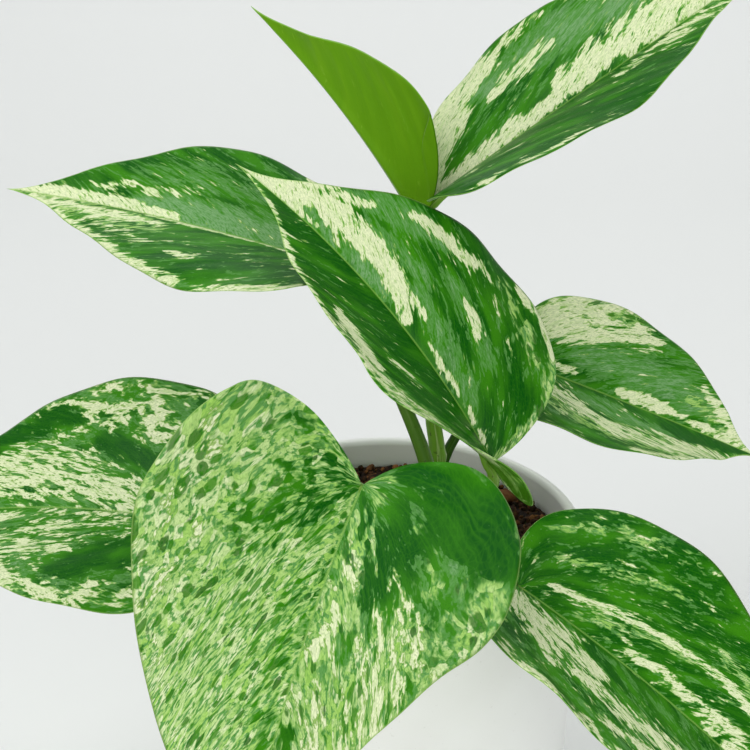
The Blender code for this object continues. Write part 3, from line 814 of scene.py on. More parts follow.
# Dark end of the stalks' tone: their own deep green and partly painted shade
STALK_DARK_AND_SHADED = (0.022, 0.085, 0.004, 1)
STALK_PALE = (0.20, 0.42, 0.035, 1)
STALK_STREAK = (0.52, 0.66, 0.24, 1)
STALK_SPOT = (0.05, 0.07, 0.012, 1)
STALK_FOOT = (0.12, 0.085, 0.012, 1)
FLOOR_CLOUD = (0.79, 0.80, 0.78, 1)
# Sizes of the marbling in mm, across and along the side veins.
DRIFT_RATE = (0.16, 0.10, 1)                # how often the streaks bend, per mm
DRIFT_REACH = (3.0, 5.0, 0)                 # how far they bend
CELL_SIZE = (1.5, 3.2)                      # blocks of the half-pale mottling
OVAL_SIZE = (2.3, 5.2)                      # dark ovals in it
NET_SIZE = (0.8, 1.4)                       # meshes of the finest veins
# How much the broad, ragged and fine streaks break up a blade's patches.
BROAD_GAIN, RAGGED_GAIN, FINE_GAIN = 2.1, 1.35, 0.6


def variegation():
    """Marbling of a blade in its own vein coordinates, in mm across and along the veins."""
    tree, g, given, out = shader_group(
        "Variegation",
        [("Grain", VECTOR, (0, 0, 0)), ("Cream", FLOAT, 0.0), ("Lime", FLOAT, 0.0),
         ("Frost", FLOAT, 0.0), ("Deep colour", COLOUR, (0, 0.1, 0, 1)),
         ("Green colour", COLOUR, (0, 0.2, 0, 1)), ("Frost colour", COLOUR, (0.2, 0.4, 0.1, 1)),
         ("Lime colour", COLOUR, (0.4, 0.6, 0.2, 1)),
         ("Cream colour", COLOUR, (0.8, 0.9, 0.5, 1))],
        [("Colour", COLOUR), ("Pale", FLOAT), ("Height", FLOAT)])
    grain = given["Grain"]
    drift = g.noise(g.vector("MULTIPLY", grain, DRIFT_RATE), 1.0, 1.0, colour=True)
    drift = g.vector("MULTIPLY", g.vector("SUBTRACT", drift, (0.5, 0.5, 0.5)), DRIFT_REACH)
    grain = g.vector("ADD", grain, drift)

    def streak(across, along, detail=2.0):
        return g.noise(g.vector("MULTIPLY", grain, (1 / across, 1 / along, 1)), 1.0, detail)

    broad, ragged, fine = streak(2.8, 9.0, 2.5), streak(1.1, 3.4), streak(0.45, 1.3)
    other, speck = streak(2.4, 8.0, 3.0), streak(0.7, 2.0)

    def field(bias, first, second, third):
        total = g.math("MULTIPLY_ADD", first, BROAD_GAIN, bias)
        total = g.math("MULTIPLY_ADD", second, RAGGED_GAIN, total)
        total = g.math("MULTIPLY_ADD", third, FINE_GAIN, total)
        return g.math("SUBTRACT", total, (BROAD_GAIN + RAGGED_GAIN + FINE_GAIN) / 2)

    cream_field = field(given["Cream"], broad, ragged, fine)
    frost_field = field(given["Frost"], other, ragged, fine)
    # The ground is darkest where the least frost lies, so the frost's painted sheen lightens it
    # too.
    ground = g.math("MULTIPLY_ADD", given["Frost"], 0.32, streak(7.0, 24.0))
    base = g.mix(g.mask(ground, 0.48, 0.75), given["Deep colour"], given["Green colour"])
    base = g.mix(g.math("MULTIPLY", g.mask(streak(0.5, 9.0), 0.4, 0.75), 0.35), base,
                 given["Green colour"])

    def cells(feature, across, along):
        node = g.add("ShaderNodeTexVoronoi", feature=feature)
        g.put(node.inputs["Vector"], g.vector("MULTIPLY", grain, (1 / across, 1 / along, 1)))
        node.inputs["Scale"].default_value = 1.0
        return node.outputs

    cell = g.add("ShaderNodeSeparateColor")
    g.put(cell.inputs[0], cells("F1", *CELL_SIZE)["Color"])
    lime_field = g.math("MULTIPLY_ADD", cell.outputs[0], 0.45, given["Lime"])
    lime_field = g.math("ADD", g.math("SUBTRACT", broad, 0.5), lime_field)
    lime_field = g.math("MULTIPLY_ADD", g.math("SUBTRACT", ragged, 0.5), 1.1, lime_field)
    lime = g.mask(g.math("SUBTRACT", lime_field, 0.225), 0.36, 0.60)
    lime_colour = g.mix(g.mask(lime_field, 0.55, 0.98), given["Frost colour"],
                        given["Lime colour"])
    paler = g.math("MULTIPLY", cell.outputs[1], g.mask(lime_field, 0.65, 1.25))
    lime_colour = g.mix(g.math("MULTIPLY", paler, 0.9), lime_colour, given["Cream colour"])
    lime_colour = g.mix(g.mask(g.math("ADD", speck, g.math("MULTIPLY", cell.outputs[2], 0.12)),
                               0.54, 0.68), lime_colour, given["Frost colour"])
    # Dark ovals and thin broken outlines lie on the half-pale mottling.
    ovals = cells("F1", *OVAL_SIZE)
    picked = g.add("ShaderNodeSeparateColor")
    g.put(picked.inputs[0], ovals["Color"])
    size = g.math("MULTIPLY_ADD", picked.outputs[0], 0.38, 0.10)
    away = g.math("MULTIPLY_ADD", g.math("SUBTRACT", ragged, 0.5), 0.5, ovals["Distance"])
    oval = g.math("SUBTRACT", 1.0, g.mask(g.math("SUBTRACT", away, size), -0.04, 0.04))
    outline = g.math("SUBTRACT", 1.0, g.mask(
        cells("DISTANCE_TO_EDGE", *CELL_SIZE)["Distance"], 0.015, 0.075))
    outline = g.math("MULTIPLY", outline, g.mask(speck, 0.44, 0.60))

    # Frost patches: grey-green pigment and partly painted sheen
    frost = g.math("MULTIPLY", g.mask(frost_field, 0.40, 0.54),
                   g.mask(fine, 0.15, 0.6))
    frost_colour = g.mix(g.math("MULTIPLY", g.mask(streak(0.6, 1.8), 0.40, 0.75), 0.6),
                         given["Frost colour"], given["Green colour"])
    # Painted sheen: the strongest frost turns a pale silvery grey-green
    silver_sheen = g.math("MULTIPLY", g.mask(frost_field, 0.70, 1.15), 0.55)
    frost_colour = g.mix(silver_sheen, frost_colour, SILVER_SHEEN)
    colour = g.mix(g.math("MULTIPLY", frost, 0.8), base, frost_colour)
    colour = g.mix(lime, colour, lime_colour)
    colour = g.mix(g.math("MULTIPLY", g.math("MULTIPLY", lime, oval), 0.85), colour,
                   g.mix(picked.outputs[1], given["Deep colour"], given["Green colour"]))
    colour = g.mix(g.math("MULTIPLY", g.math("MULTIPLY", lime, outline), 0.65), colour,
                   given["Green colour"])
    fringe = g.mask(cream_field, 0.30, 0.46)
    colour = g.mix(g.math("MULTIPLY", fringe, 0.60), colour, given["Frost colour"])
    colour = g.mix(g.math("MULTIPLY", g.mask(cream_field, 0.40, 0.50), 0.75), colour,
                   g.mix(g.mask(broad, 0.42, 0.60), given["Lime colour"], OLIVE))
    fleck = g.mask(streak(0.6, 2.4), 0.59, 0.64)
    cream = g.math("MULTIPLY", g.mask(cream_field, 0.47, 0.60),
                   g.math("SUBTRACT", 1.0, g.math("MULTIPLY", fleck, 0.85)))
    cream_colour = g.mix(g.math("MULTIPLY", g.mask(streak(1.3, 5.0), 0.45, 0.75), 0.4),
                         given["Cream colour"], given["Lime colour"])
    colour = g.mix(cream, colour, cream_colour)
    # A fine net of veins darkens the pale zones and lightens the green ones.
    net = g.math("SUBTRACT", 1.0, g.mask(
        cells("DISTANCE_TO_EDGE", *NET_SIZE)["Distance"], 0.02, 0.16))
    colour = g.mix(g.math("MULTIPLY", net, 0.18), colour, given["Green colour"])
    colour = g.mix(g.math("MULTIPLY", g.mask(streak(0.25, 0.5), 0.45, 0.75), 0.28), colour,
                   given["Deep colour"])
    g.put(out["Colour"], colour)
    g.put(out["Pale"], cream)
    height = g.math("MULTIPLY_ADD", streak(0.9, 14.0), 0.8, g.math("MULTIPLY", ragged, 0.5))
    height = g.math("MULTIPLY_ADD", net, -0.2, height)
    g.put(out["Height"], g.math("MULTIPLY_ADD", cream, -0.25, height))
    return tree


def leaf_material(name, marbling, settings, young=False):
    made, g, shader = new_material(name)
    vein = g.attribute("grain", "Vector")
    if young:
        deep, green, frost, under = YOUNG_DEEP, YOUNG_GREEN, YOUNG_FROST, YOUNG_UNDERSIDE
    else:
        deep, green, frost, under = settings.deep, settings.green, settings.frosted, UNDERSIDE
    marks = g.group(marbling, Grain=vein, Cream=g.attribute("cream"),
                    Lime=g.attribute("lime"), Frost=g.attribute("frost"), Deep_colour=deep,
                    Green_colour=green, Frost_colour=frost, Lime_colour=settings.lime,
                    Cream_colour=settings.cream)
    underside = g.math("SUBTRACT", 1.0, g.attribute("face"))
    colour = g.mix(g.math("MULTIPLY", underside, 0.38), marks["Colour"], under)
    rib_line = g.math("SUBTRACT", 1.0, g.mask(g.attribute("rib"), 0.10, 0.42))
    colour = g.mix(g.math("MULTIPLY", rib_line, 0.5), colour, MIDRIB)
    rim_line = g.math("SUBTRACT", 1.0, g.mask(g.attribute("rim"), 0.14, 0.40))
    colour = g.mix(g.math("MULTIPLY", rim_line, 0.6), colour, LEAF_RIM)
    g.put(shader.inputs["Base Color"], colour)
    rough = g.math("MULTIPLY_ADD", g.noise(g.vector("MULTIPLY", vein, (0.5, 0.2, 1))), 0.16, 0.27)
    g.put(shader.inputs["Roughness"], rough)
    # The specular is kept low; much of the leaves' sheen is painted into the frost colours
    shader.inputs["Specular IOR Level"].default_value = 0.09
    g.put(shader.inputs["Normal"], g.bump(marks["Height"], 0.35, 0.12 * MM))
    return made


# ------------------------------------------------------------ geometry nodes
def geometry_group(name, inputs):
    """A geometry tree with Geometry and the given (name, socket type, default) inputs."""
    tree = bpy.data.node_groups.new(name, "GeometryNodeTree")
    tree.interface.new_socket("Geometry", in_out="INPUT", socket_type="NodeSocketGeometry")
    tree.interface.new_socket("Geometry", in_out="OUTPUT", socket_type="NodeSocketGeometry")
    for label, kind, default in inputs:
        socket = tree.interface.new_socket(label, in_out="INPUT", socket_type=kind)
        if default is not None:
            socket.default_value = default
    graph = Graph(tree)
    return tree, graph, graph.add("NodeGroupInput").outputs, graph.add("NodeGroupOutput").inputs


def grown(source, tree, name, **values):
    """Runs a geometry tree on an object and gives the result as a plain mesh object."""
    modifier = source.modifiers.new("Grow", "NODES")
    modifier.node_group = tree
    sockets = {item.name: item.identifier for item in tree.interface.items_tree
               if item.item_type == "SOCKET" and item.in_out == "INPUT"}
    for label, value in values.items():
        modifier[sockets[label.replace("_", " ")]] = value
    graph = bpy.context.evaluated_depsgraph_get()
    mesh = bpy.data.meshes.new_from_object(source.evaluated_get(graph))
    mesh.name = name
    source.modifiers.remove(modifier)
    made = bpy.data.objects.new(name, mesh)
    bpy.context.scene.collection.objects.link(made)
    if not mesh.polygons:
        raise RuntimeError(name + " came out empty")
    return made


def stalk_tree():
    """Sweeps a grooved, slightly ribbed section along a curve, thicker at its nodes."""
    tree, g, given, out = geometry_group("Stalk sweep", [
        ("Foot radius", FLOAT, 2 * MM), ("Top radius", FLOAT, 1.5 * MM),
        ("Groove", FLOAT, 0.2), ("Swelling", FLOAT, 0.15), ("Node spacing", FLOAT, 30 * MM),
        ("End share", FLOAT, 0.9), ("Tone", FLOAT, 0.5), ("Sides", "NodeSocketInt", 28),
        ("Material", "NodeSocketMaterial", None)])
    run = g.add("GeometryNodeSplineParameter").outputs
    share = g.math("POWER", run["Factor"], 0.6)
    radius = g.math("MULTIPLY_ADD", share, g.math("SUBTRACT", given["Top radius"],
                                                  given["Foot radius"]), given["Foot radius"])
    turn = g.math("DIVIDE", g.math("MULTIPLY", run["Length"], math.pi), given["Node spacing"])
    ring = g.math("POWER", g.math("ABSOLUTE", g.math("COSINE", turn)), 60.0)
    swollen = g.math("MULTIPLY_ADD", ring, given["Swelling"], 1.0)
    radius = g.math("MULTIPLY", radius, swollen)
    left = g.math("DIVIDE", g.math("SUBTRACT", 1.0, run["Factor"]),
                  g.math("SUBTRACT", 1.0, given["End share"]), clamp=True)
    radius = g.math("MULTIPLY", radius, g.math("MULTIPLY_ADD", left, 0.75, 0.25))

    circle = g.add("GeometryNodeCurvePrimitiveCircle")
    g.put(circle.inputs["Resolution"], given["Sides"])
    circle.inputs["Radius"].default_value = 1.0
    place = g.add("GeometryNodeInputPosition").outputs[0]
    parts = g.split(place)
    hollow = g.math("POWER", g.math("MAXIMUM", parts["Y"], 0.0), 7.0)
    angle = g.math("ARCTAN2", parts["Y"], parts["X"])
    ridges = g.math("MULTIPLY", g.math("COSINE", g.math("MULTIPLY", angle, 9.0)), 0.02)
    keep = g.math("SUBTRACT", g.math("ADD", ridges, 1.0),
                  g.math("MULTIPLY", hollow, given["Groove"]))
    section = g.add("GeometryNodeSetPosition")
    g.put(section.inputs["Geometry"], circle.outputs["Curve"])
    g.put(section.inputs["Position"], g.scaled(place, keep))

    sweep = g.add("GeometryNodeCurveToMesh")
    g.put(sweep.inputs["Curve"], g.store(given["Geometry"], "along", run["Length"]))
    g.put(sweep.inputs["Profile Curve"], g.store(section.outputs[0], "around", angle))
    g.put(sweep.inputs["Scale"], radius)
    sweep.inputs["Fill Caps"].default_value = True
    finish(g, g.store(sweep.outputs["Mesh"], "tone", given["Tone"]), given["Material"], out)
    return tree


def finish(g, geometry, material, out):
    """Ends a geometry tree: real meshes, shading and material."""
    real = g.add("GeometryNodeRealizeInstances")
    g.put(real.inputs["Geometry"], geometry)
    shade = g.add("GeometryNodeSetShadeSmooth")
    g.put(shade.inputs["Geometry"], real.outputs[0])
    paint = g.add("GeometryNodeSetMaterial")
    g.put(paint.inputs["Geometry"], shade.outputs[0])
    g.put(paint.inputs["Material"], material)
    g.put(out["Geometry"], paint.outputs[0])


DENTS = 1.8                         # depth of a crumb's dents, in its radii


def crumb_tree():
    """Scatters turned, squashed crumbs over the upward faces of a surface."""
    tree, g, given, out = geometry_group("Crumb scatter", [
        ("Size", FLOAT, 1.2 * MM), ("Gap", FLOAT, 1.6 * MM), ("Flatness", FLOAT, 0.7),
        ("Stretch", FLOAT, 1.3), ("Sink", FLOAT, 0.3), ("Reach", FLOAT, 50 * MM),
        ("Seed", "NodeSocketInt", 3), ("Material", "NodeSocketMaterial", None)])
    normal = g.split(g.add("GeometryNodeInputNormal").outputs[0])
    place = g.add("GeometryNodeInputPosition").outputs[0]
    flat = g.add("ShaderNodeVectorMath", operation="LENGTH")
    g.put(flat.inputs[0], g.vector("MULTIPLY", place, (1, 1, 0)))
    inside = g.math("LESS_THAN", flat.outputs["Value"], given["Reach"])
    upward = g.math("GREATER_THAN", normal["Z"], 0.55)
    spread = g.add("GeometryNodeDistributePointsOnFaces", distribute_method="POISSON")
    g.put(spread.inputs["Mesh"], given["Geometry"])
    g.put(spread.inputs["Selection"], g.math("MULTIPLY", inside, upward))
    g.put(spread.inputs["Distance Min"], given["Gap"])
    # The density is so high that the gap alone sets the count.
    spread.inputs["Density Max"].default_value = 900000.0
    g.put(spread.inputs["Seed"], given["Seed"])

    def random(low, high, kind="FLOAT", salt=0):
        # A Random Value node has a pair of limits for each type.
        node = g.add("FunctionNodeRandomValue", data_type=kind)
        first = 0 if kind == "FLOAT_VECTOR" else 2
        g.put(node.inputs[first], low)
        g.put(node.inputs[first + 1], high)
        g.put(node.inputs["Seed"], g.math("ADD", given["Seed"], float(salt)))
        return node.outputs[0 if kind == "FLOAT_VECTOR" else 1]

    crumb = g.add("GeometryNodeMeshIcoSphere")
    crumb.inputs["Radius"].default_value = 1.0
    crumb.inputs["Subdivisions"].default_value = 2
    rough = g.add("ShaderNodeTexNoise")
    rough.inputs["Scale"].default_value = 1.9
    g.put(rough.inputs["Vector"], place)
    dent = g.scaled(g.vector("SUBTRACT", rough.outputs["Color"], (0.5, 0.5, 0.5)), DENTS)
    dented = g.add("GeometryNodeSetPosition")
    g.put(dented.inputs["Geometry"], crumb.outputs["Mesh"])
    g.put(dented.inputs["Offset"], dent)
    size = g.math("MULTIPLY", g.math("POWER", random(0.35, 1.0, salt=1), 1.6), given["Size"])
    shape = g.joined(g.math("MULTIPLY", given["Stretch"], random(0.7, 1.3, salt=2)),
                     random(0.6, 1.0, salt=3), given["Flatness"])
    lowered = g.add("GeometryNodeSetPosition")
    g.put(lowered.inputs["Geometry"], spread.outputs["Points"])
    g.put(lowered.inputs["Offset"], g.joined(0.0, 0.0, g.math(
        "MULTIPLY", given["Size"], g.math("SUBTRACT", random(0.0, 0.9, salt=6),
                                          given["Sink"]))))
    copies = g.add("GeometryNodeInstanceOnPoints")
    g.put(copies.inputs["Points"], lowered.outputs[0])
    g.put(copies.inputs["Instance"], dented.outputs[0])
    turn = random((-0.7, -0.7, 0.0), (0.7, 0.7, 6.28), "FLOAT_VECTOR", salt=4)
    g.put(copies.inputs["Rotation"], turn)
    g.put(copies.inputs["Scale"], g.scaled(shape, size))
    toned = g.store(copies.outputs[0], "tone", random(0.0, 1.0, salt=5), "INSTANCE")
    finish(g, toned, given["Material"], out)
    return tree


# ----------------------------------------------------------------- pot and soil
POT_SEGMENTS, SOIL_SEGMENTS = 144, 220
SOIL_RELIEF = ((2.2, 55), (1.1, 190), (0.6, 520))   # rise in mm, bumps per metre


def arc(centre_r, centre_z, radius, start, end, steps):
    """Points of an arc in the (r, z) half plane, angles in degrees."""
    return [(centre_r + radius * math.cos(math.radians(a)),
             centre_z + radius * math.sin(math.radians(a)))
            for a in np.linspace(start, end, steps)]


def line(a, b, steps):
    """Points between a and b, without the ends."""
    return [(a[0] + (b[0] - a[0]) * t, a[1] + (b[1] - a[1]) * t)
            for t in np.linspace(0, 1, steps + 2)[1:-1]]


def turned(name, profile, segments, height_at=None):
    """Turns a profile that starts and ends on the axis; height_at moves a point up or down."""
    angles = np.linspace(0, 2 * math.pi, segments, endpoint=False)
    points = [(0.0, 0.0, profile[0][1])]
    for r, z in profile[1:-1]:
        points += [(r * math.cos(a), r * math.sin(a), z) for a in angles]
    points.append((0.0, 0.0, profile[-1][1]))
    if height_at:
        points = [(x, y, z + height_at(x, y, z)) for x, y, z in points]
    faces, last, rings = [], len(points) - 1, len(profile) - 2
    for k in range(segments):
        n = (k + 1) % segments
        faces.append((0, 1 + n, 1 + k))
        for j in range(rings - 1):
            a, b = 1 + j * segments, 1 + (j + 1) * segments
            faces.append((a + k, a + n, b + n, b + k))
        base = 1 + (rings - 1) * segments
        faces.append((base + k, base + n, last))
    mesh = bpy.data.meshes.new(name)
    mesh.from_pydata(points, [], faces)
    mesh.shade_smooth()
    made = bpy.data.objects.new(name, mesh)
    bpy.context.scene.collection.objects.link(made)
    return made


def place_piece(piece, slot, *nodes):
    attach(piece, "root")
    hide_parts(*nodes)


class POTHOS_OT_pot(bpy.types.Operator):
    """Add the glazed pot with its rounded lip and foot ring"""

    bl_idname = "pothos.pot"
    bl_label = "Pot"

    def execute(self, context):
        s = context.scene.pothos_pot
        foot, inner = 14 * MM, 10 * MM      # rounding outside and inside the foot
        floor = 5 * MM                      # height of the floor inside
        ring, ring_depth = 34 * MM, 1.2 * MM
        lip = s.wall / 2

        def wall_radius(z):
            share = (z - foot) / (s.height - foot)
            return s.foot_radius + (s.rim_radius - s.foot_radius) * share

        corner_z = floor + inner
        corner_r = wall_radius(corner_z) - s.wall - inner
        outside = arc(s.foot_radius - foot, foot, foot, -90, 0, 24)
        lip_arc = arc(s.rim_radius - lip, s.height - lip, lip, 0, 180, 20)
        inside = arc(corner_r, corner_z, inner, 0, -90, 16)
        profile = [(0, ring_depth)] + line((0, ring_depth), (ring - 3 * MM, ring_depth), 6)
        profile += [(ring - 3 * MM, ring_depth), (ring - 2.2 * MM, ring_depth * 0.8),
                    (ring - 1.6 * MM, ring_depth * 0.25), (ring - 1.0 * MM, 0)]
        profile += outside + line(outside[-1], lip_arc[0], 26) + lip_arc
        profile += line(lip_arc[-1], inside[0], 24) + inside
        profile += line(inside[-1], (0, floor), 5) + [(0, floor)]
        piece = turned("pot_glazed", profile, POT_SEGMENTS)

        made, g, shader = new_material("White glaze")
        at = g.add("ShaderNodeTexCoord").outputs["Object"]
        cloud = g.noise(at, 24.0, 3.0)
        tint = g.mix(g.mask(cloud, 0.35, 0.7), s.glaze, GLAZE_CLOUD)
        pits = g.mask(g.noise(at, 900.0, 2.0), 0.70, 0.76)
        tint = g.mix(g.math("MULTIPLY", pits, 0.25), tint, GLAZE_PIT)
        bare = g.math("SUBTRACT", 1.0, g.mask(g.split(at)["Z"], 0.3 * MM, 0.9 * MM))
        tint = g.mix(bare, tint, BARE_CLAY)
        g.put(shader.inputs["Base Color"], tint)
        g.put(shader.inputs["Roughness"], g.math("MULTIPLY_ADD", bare, 0.5, g.math(
            "MULTIPLY_ADD", cloud, 0.12, 0.26)))
        shader.inputs["Coat Weight"].default_value = 0.15
        shader.inputs["Coat Roughness"].default_value = 0.15
        g.put(shader.inputs["Normal"], g.bump(g.noise(at, 260.0, 1.0), 0.08, 0.3 * MM))
        piece.data.materials.append(made)
        place_piece(piece, "pot_glaze", "pot")
        return {"FINISHED"}


class POTHOS_OT_soil(bpy.types.Operator):
    """Add the potting mix with its loose crumbs and bark chips"""

    bl_idname = "pothos.soil"
    bl_label = "Soil"

    def execute(self, context):
        s = context.scene.pothos_soil
        corner, edging, taper = 10 * MM, 1.5 * MM, 2.4 * MM
        low = SOIL_LOW[2]
        low_r = SOIL_RADIUS - corner - taper
        side = arc(low_r, low + corner, corner, -90, 0, 10)
        edge = arc(SOIL_RADIUS - edging, SOIL_TOP - edging, edging, 0, 90, 5)
        profile = [(0, low)] + side + line(side[-1], edge[0], 8) + edge
        profile += line(edge[-1], (0, SOIL_TOP), 44) + [(0, SOIL_TOP)]

        def rough(x, y, z):
            if z < SOIL_TOP - 0.1 * MM:
                return 0.0
            at = Vector((x, y, 0.0))
            return sum(rise * noise.noise(at * rate) for rise, rate in SOIL_RELIEF) * MM

        bed = turned("soil_bed", profile, SOIL_SEGMENTS, rough)
        made, g, shader = new_material("Potting mix")
        at = g.add("ShaderNodeTexCoord").outputs["Object"]
        tone = g.attribute("tone")
        grit = g.noise(at, 420.0, 4.0, 0.65)
        mixed = g.math("ADD", g.math("MULTIPLY", g.mask(tone, 0.3, 1.0), 0.7),
                       g.math("MULTIPLY", g.mask(grit, 0.42, 0.75), 0.45), clamp=True)
        colour = g.mix(mixed, s.dark, s.light)
        colour = g.mix(g.math("MULTIPLY", g.mask(g.noise(at, 95.0, 2.0), 0.5, 0.7), 0.5),
                       colour, MOIST_SPOT)
        g.put(shader.inputs["Base Color"], colour)
        g.put(shader.inputs["Roughness"], g.math("MULTIPLY_ADD", grit, 0.3, 0.62))
        shader.inputs["Specular IOR Level"].default_value = 0.1
        g.put(shader.inputs["Normal"], g.bump(g.noise(at, 900.0, 3.0), 0.8, 0.4 * MM))
        bed.data.materials.append(made)
        place_piece(bed, "potting_mix", "soil")

        tree = crumb_tree()
        for name, size, gap, flat, stretch, sink, seed in (
                ("soil_crumbs", s.crumb_size, s.crumb_gap, 0.8, 1.3, 0.35, 3),
                ("soil_bark", s.crumb_size * 2.2, s.bark_gap, 0.35, 1.7, 0.2, 11)):
            piece = grown(bed, tree, name, Size=size, Gap=gap, Flatness=flat, Stretch=stretch,
                          Sink=sink, Reach=SOIL_RADIUS - 2.2 * MM, Seed=seed, Material=made)
            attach(piece, "root")
        return {"FINISHED"}


# --------------------------------------------------------------------- stalks
def smooth_path(points, step):
    """Evenly stepped points of a Catmull-Rom curve through the given points."""
    p = np.array(points, float)
    p = np.concatenate([[2 * p[0] - p[1]], p, [2 * p[-1] - p[-2]]])
    fine = []
    for k in range(1, len(p) - 2):
        for t in np.linspace(0, 1, SPAN_STEPS, endpoint=False):
            fine.append(0.5 * (2 * p[k] + (p[k + 1] - p[k - 1]) * t
                               + (2 * p[k - 1] - 5 * p[k] + 4 * p[k + 1] - p[k + 2]) * t ** 2
                               + (3 * p[k] - p[k - 1] - 3 * p[k + 1] + p[k + 2]) * t ** 3))
    fine.append(p[-2])
    fine = np.array(fine)
    run = np.concatenate([[0], np.cumsum(np.linalg.norm(np.diff(fine, axis=0), axis=1))])
    even = np.linspace(0, run[-1], max(4, int(round(run[-1] / step)) + 1))
    return np.stack([np.interp(even, run, fine[:, k]) for k in range(3)], -1)


def curve_along(points):
    """A poly curve through points in mm from the soil's centre."""
    path = smooth_path(points, STALK_STEP) * MM + (0, 0, SOIL_TOP)
    data = bpy.data.curves.new("path", "CURVE")
    data.dimensions = "3D"
    spline = data.splines.new("POLY")
    spline.points.add(len(path) - 1)
    spline.points.foreach_set("co", np.c_[path, np.ones(len(path))].ravel())
    made = bpy.data.objects.new("path", data)
    bpy.context.scene.collection.objects.link(made)
    return made


def under_blade(leaf, radius):
    """The stalk's last points: up to the junction, then on along the underside's midrib."""
    x = np.array([0.0, 4.0, 9.0])
    point, forward, _, up = midrib_frames(leaf, x)
    below = np.array([radius * 1.25, radius * 1.05, radius * 0.6])[:, None]
    places = point - up * below
    behind = min(1.0, max(0.0, 0.5 + leaf.rise / 60))
    lead = places[0] - (forward[0] * behind + up[0] * (1.05 - 0.6 * behind)) * 6
    return [lead] + list(places)


class POTHOS_OT_stalks(bpy.types.Operator):
    """Add the stem and the leaf stalks"""

    bl_idname = "pothos.stalks"
    bl_label = "Stem and stalks"

    def execute(self, context):
        s = context.scene.pothos_stalk
        made, g, shader = new_material("Stalk green")
        at = g.joined(g.math("MULTIPLY", g.attribute("around"), 3.0),
                      g.math("MULTIPLY", g.attribute("along"), 60.0))
        place = g.add("ShaderNodeTexCoord").outputs["Object"]
        streaks = g.noise(g.vector("ADD", at, g.vector(
            "MULTIPLY", place, (25, 25, 5))), 1.0, 3.0)
        tone = g.attribute("tone")
        # Low tones darken a stalk, partly its own green and partly painted shade for stalks in
        # shadow
        colour = g.mix(tone, STALK_DARK_AND_SHADED, STALK_PALE)
        colour = g.mix(g.math("MULTIPLY", g.mask(streaks, 0.38, 0.62), 0.35), colour, s.colour)
        pale = g.math("MULTIPLY", g.mask(streaks, 0.56, 0.66), g.math("POWER", tone, 2.0))
        colour = g.mix(g.math("MULTIPLY", pale, 0.7), colour, STALK_STREAK)
        spots = g.mask(g.noise(place, 900.0, 2.0), 0.64, 0.72)
        colour = g.mix(g.math("MULTIPLY", spots, 0.55), colour, STALK_SPOT)
        foot = g.math("SUBTRACT", 1.0, g.mask(g.split(place)["Z"], SOIL_TOP,
                                              SOIL_TOP + 9 * MM))
        colour = g.mix(g.math("MULTIPLY", foot, 0.6), colour, STALK_FOOT)
        g.put(shader.inputs["Base Color"], colour)
        g.put(shader.inputs["Roughness"], g.math("MULTIPLY_ADD", streaks, 0.25, 0.26))
        shader.inputs["Specular IOR Level"].default_value = 0.2
        g.put(shader.inputs["Normal"], g.bump(streaks, 0.3, 0.25 * MM))

        tree = stalk_tree()
        paths = {"stem": (STEM, [*STEM.points], STEM_NODE_SPACING, STEM_END)}
        for name, stalk in STALKS.items():
            points = [np.array(p, float) for p in stalk.points]
            if name not in ON_STEM:
                points[0][2] -= ROOTED
            points += under_blade(LEAF_NAMED[name], stalk.top_radius)
            length = np.linalg.norm(np.diff(points, axis=0), axis=1).sum()
            paths["stalk_" + name] = (stalk, points, STALK_NODE_SPACING,
                                      1 - STALK_END / length)
        for node, (stalk, points, spacing, end_share) in paths.items():
            path = curve_along(points)
            piece = grown(path, tree, node + "_green", Groove=s.groove, Swelling=s.swelling,
                          Node_spacing=spacing * MM, End_share=end_share, Material=made,
                          Foot_radius=stalk.foot_radius * MM,
                          Top_radius=stalk.top_radius * MM, Tone=stalk.tone)
            bpy.data.objects.remove(path)
            place_piece(piece, "stalk_green", node)
        return {"FINISHED"}


# --------------------------------------------------------------------- leaves
class POTHOS_OT_leaves(bpy.types.Operator):
    """Add the eight leaf blades with their marbling"""

    bl_idname = "pothos.leaves"
    bl_label = "Leaves"

    def execute(self, context):
        settings = context.scene.pothos_leaf
        marbling = variegation()
        grown_green = leaf_material("Variegated leaf", marbling, settings)
        young_green = leaf_material("Young leaf", marbling, settings, young=True)
        for index, leaf in enumerate(LEAVES):
            mesh = blade_mesh(leaf, index)
            young = leaf.name == "young"
            mesh.materials.append(young_green if young else grown_green)
            piece = bpy.data.objects.new("blade_" + leaf.name, mesh)
            context.scene.collection.objects.link(piece)
            place_piece(piece, "leaf_young" if young else "leaf_variegated",
                        "leaf_" + leaf.name)
        return {"FINISHED"}


# ---------------------------------------------------------------------- stage
CAMERA_PLACE = (-0.0037, -0.446, 0.354)
CAMERA_TILT = 65.5                  # degrees from straight down
CAMERA_LENS = 86.4                  # mm
SENSOR_WIDTH = 36.0                 # mm
PLANT_MIDDLE = (0.0, 0.0, 0.13)
BACKDROP = (0.0, 1.1, 0.5)
# Name, place, aim, size and share of the key light's power of each soft light.
LIGHTS = (
    ("key", (-0.55, -0.35, 0.95), PLANT_MIDDLE, (0.7, 0.7), 1.0),
    ("fill", (0.35, -1.25, 0.38), PLANT_MIDDLE, (1.2, 0.7), 1.7),
    ("back", (0.15, 0.75, 0.95), PLANT_MIDDLE, (0.9, 0.5), 0.45),
    ("wall", (0.0, 0.25, 1.5), BACKDROP, (1.6, 0.8), 1.1),
)


def area_light(name, place, target, size, power):
    data = bpy.data.lights.new(name, "AREA")
    data.shape = "RECTANGLE"
    data.size, data.size_y = size
    data.energy = power
    made = bpy.data.objects.new(name, data)
    made.location = place
    made.rotation_euler = (Vector(target) - Vector(place)).to_track_quat("-Z", "Y").to_euler()
    bpy.context.scene.collection.objects.link(made)


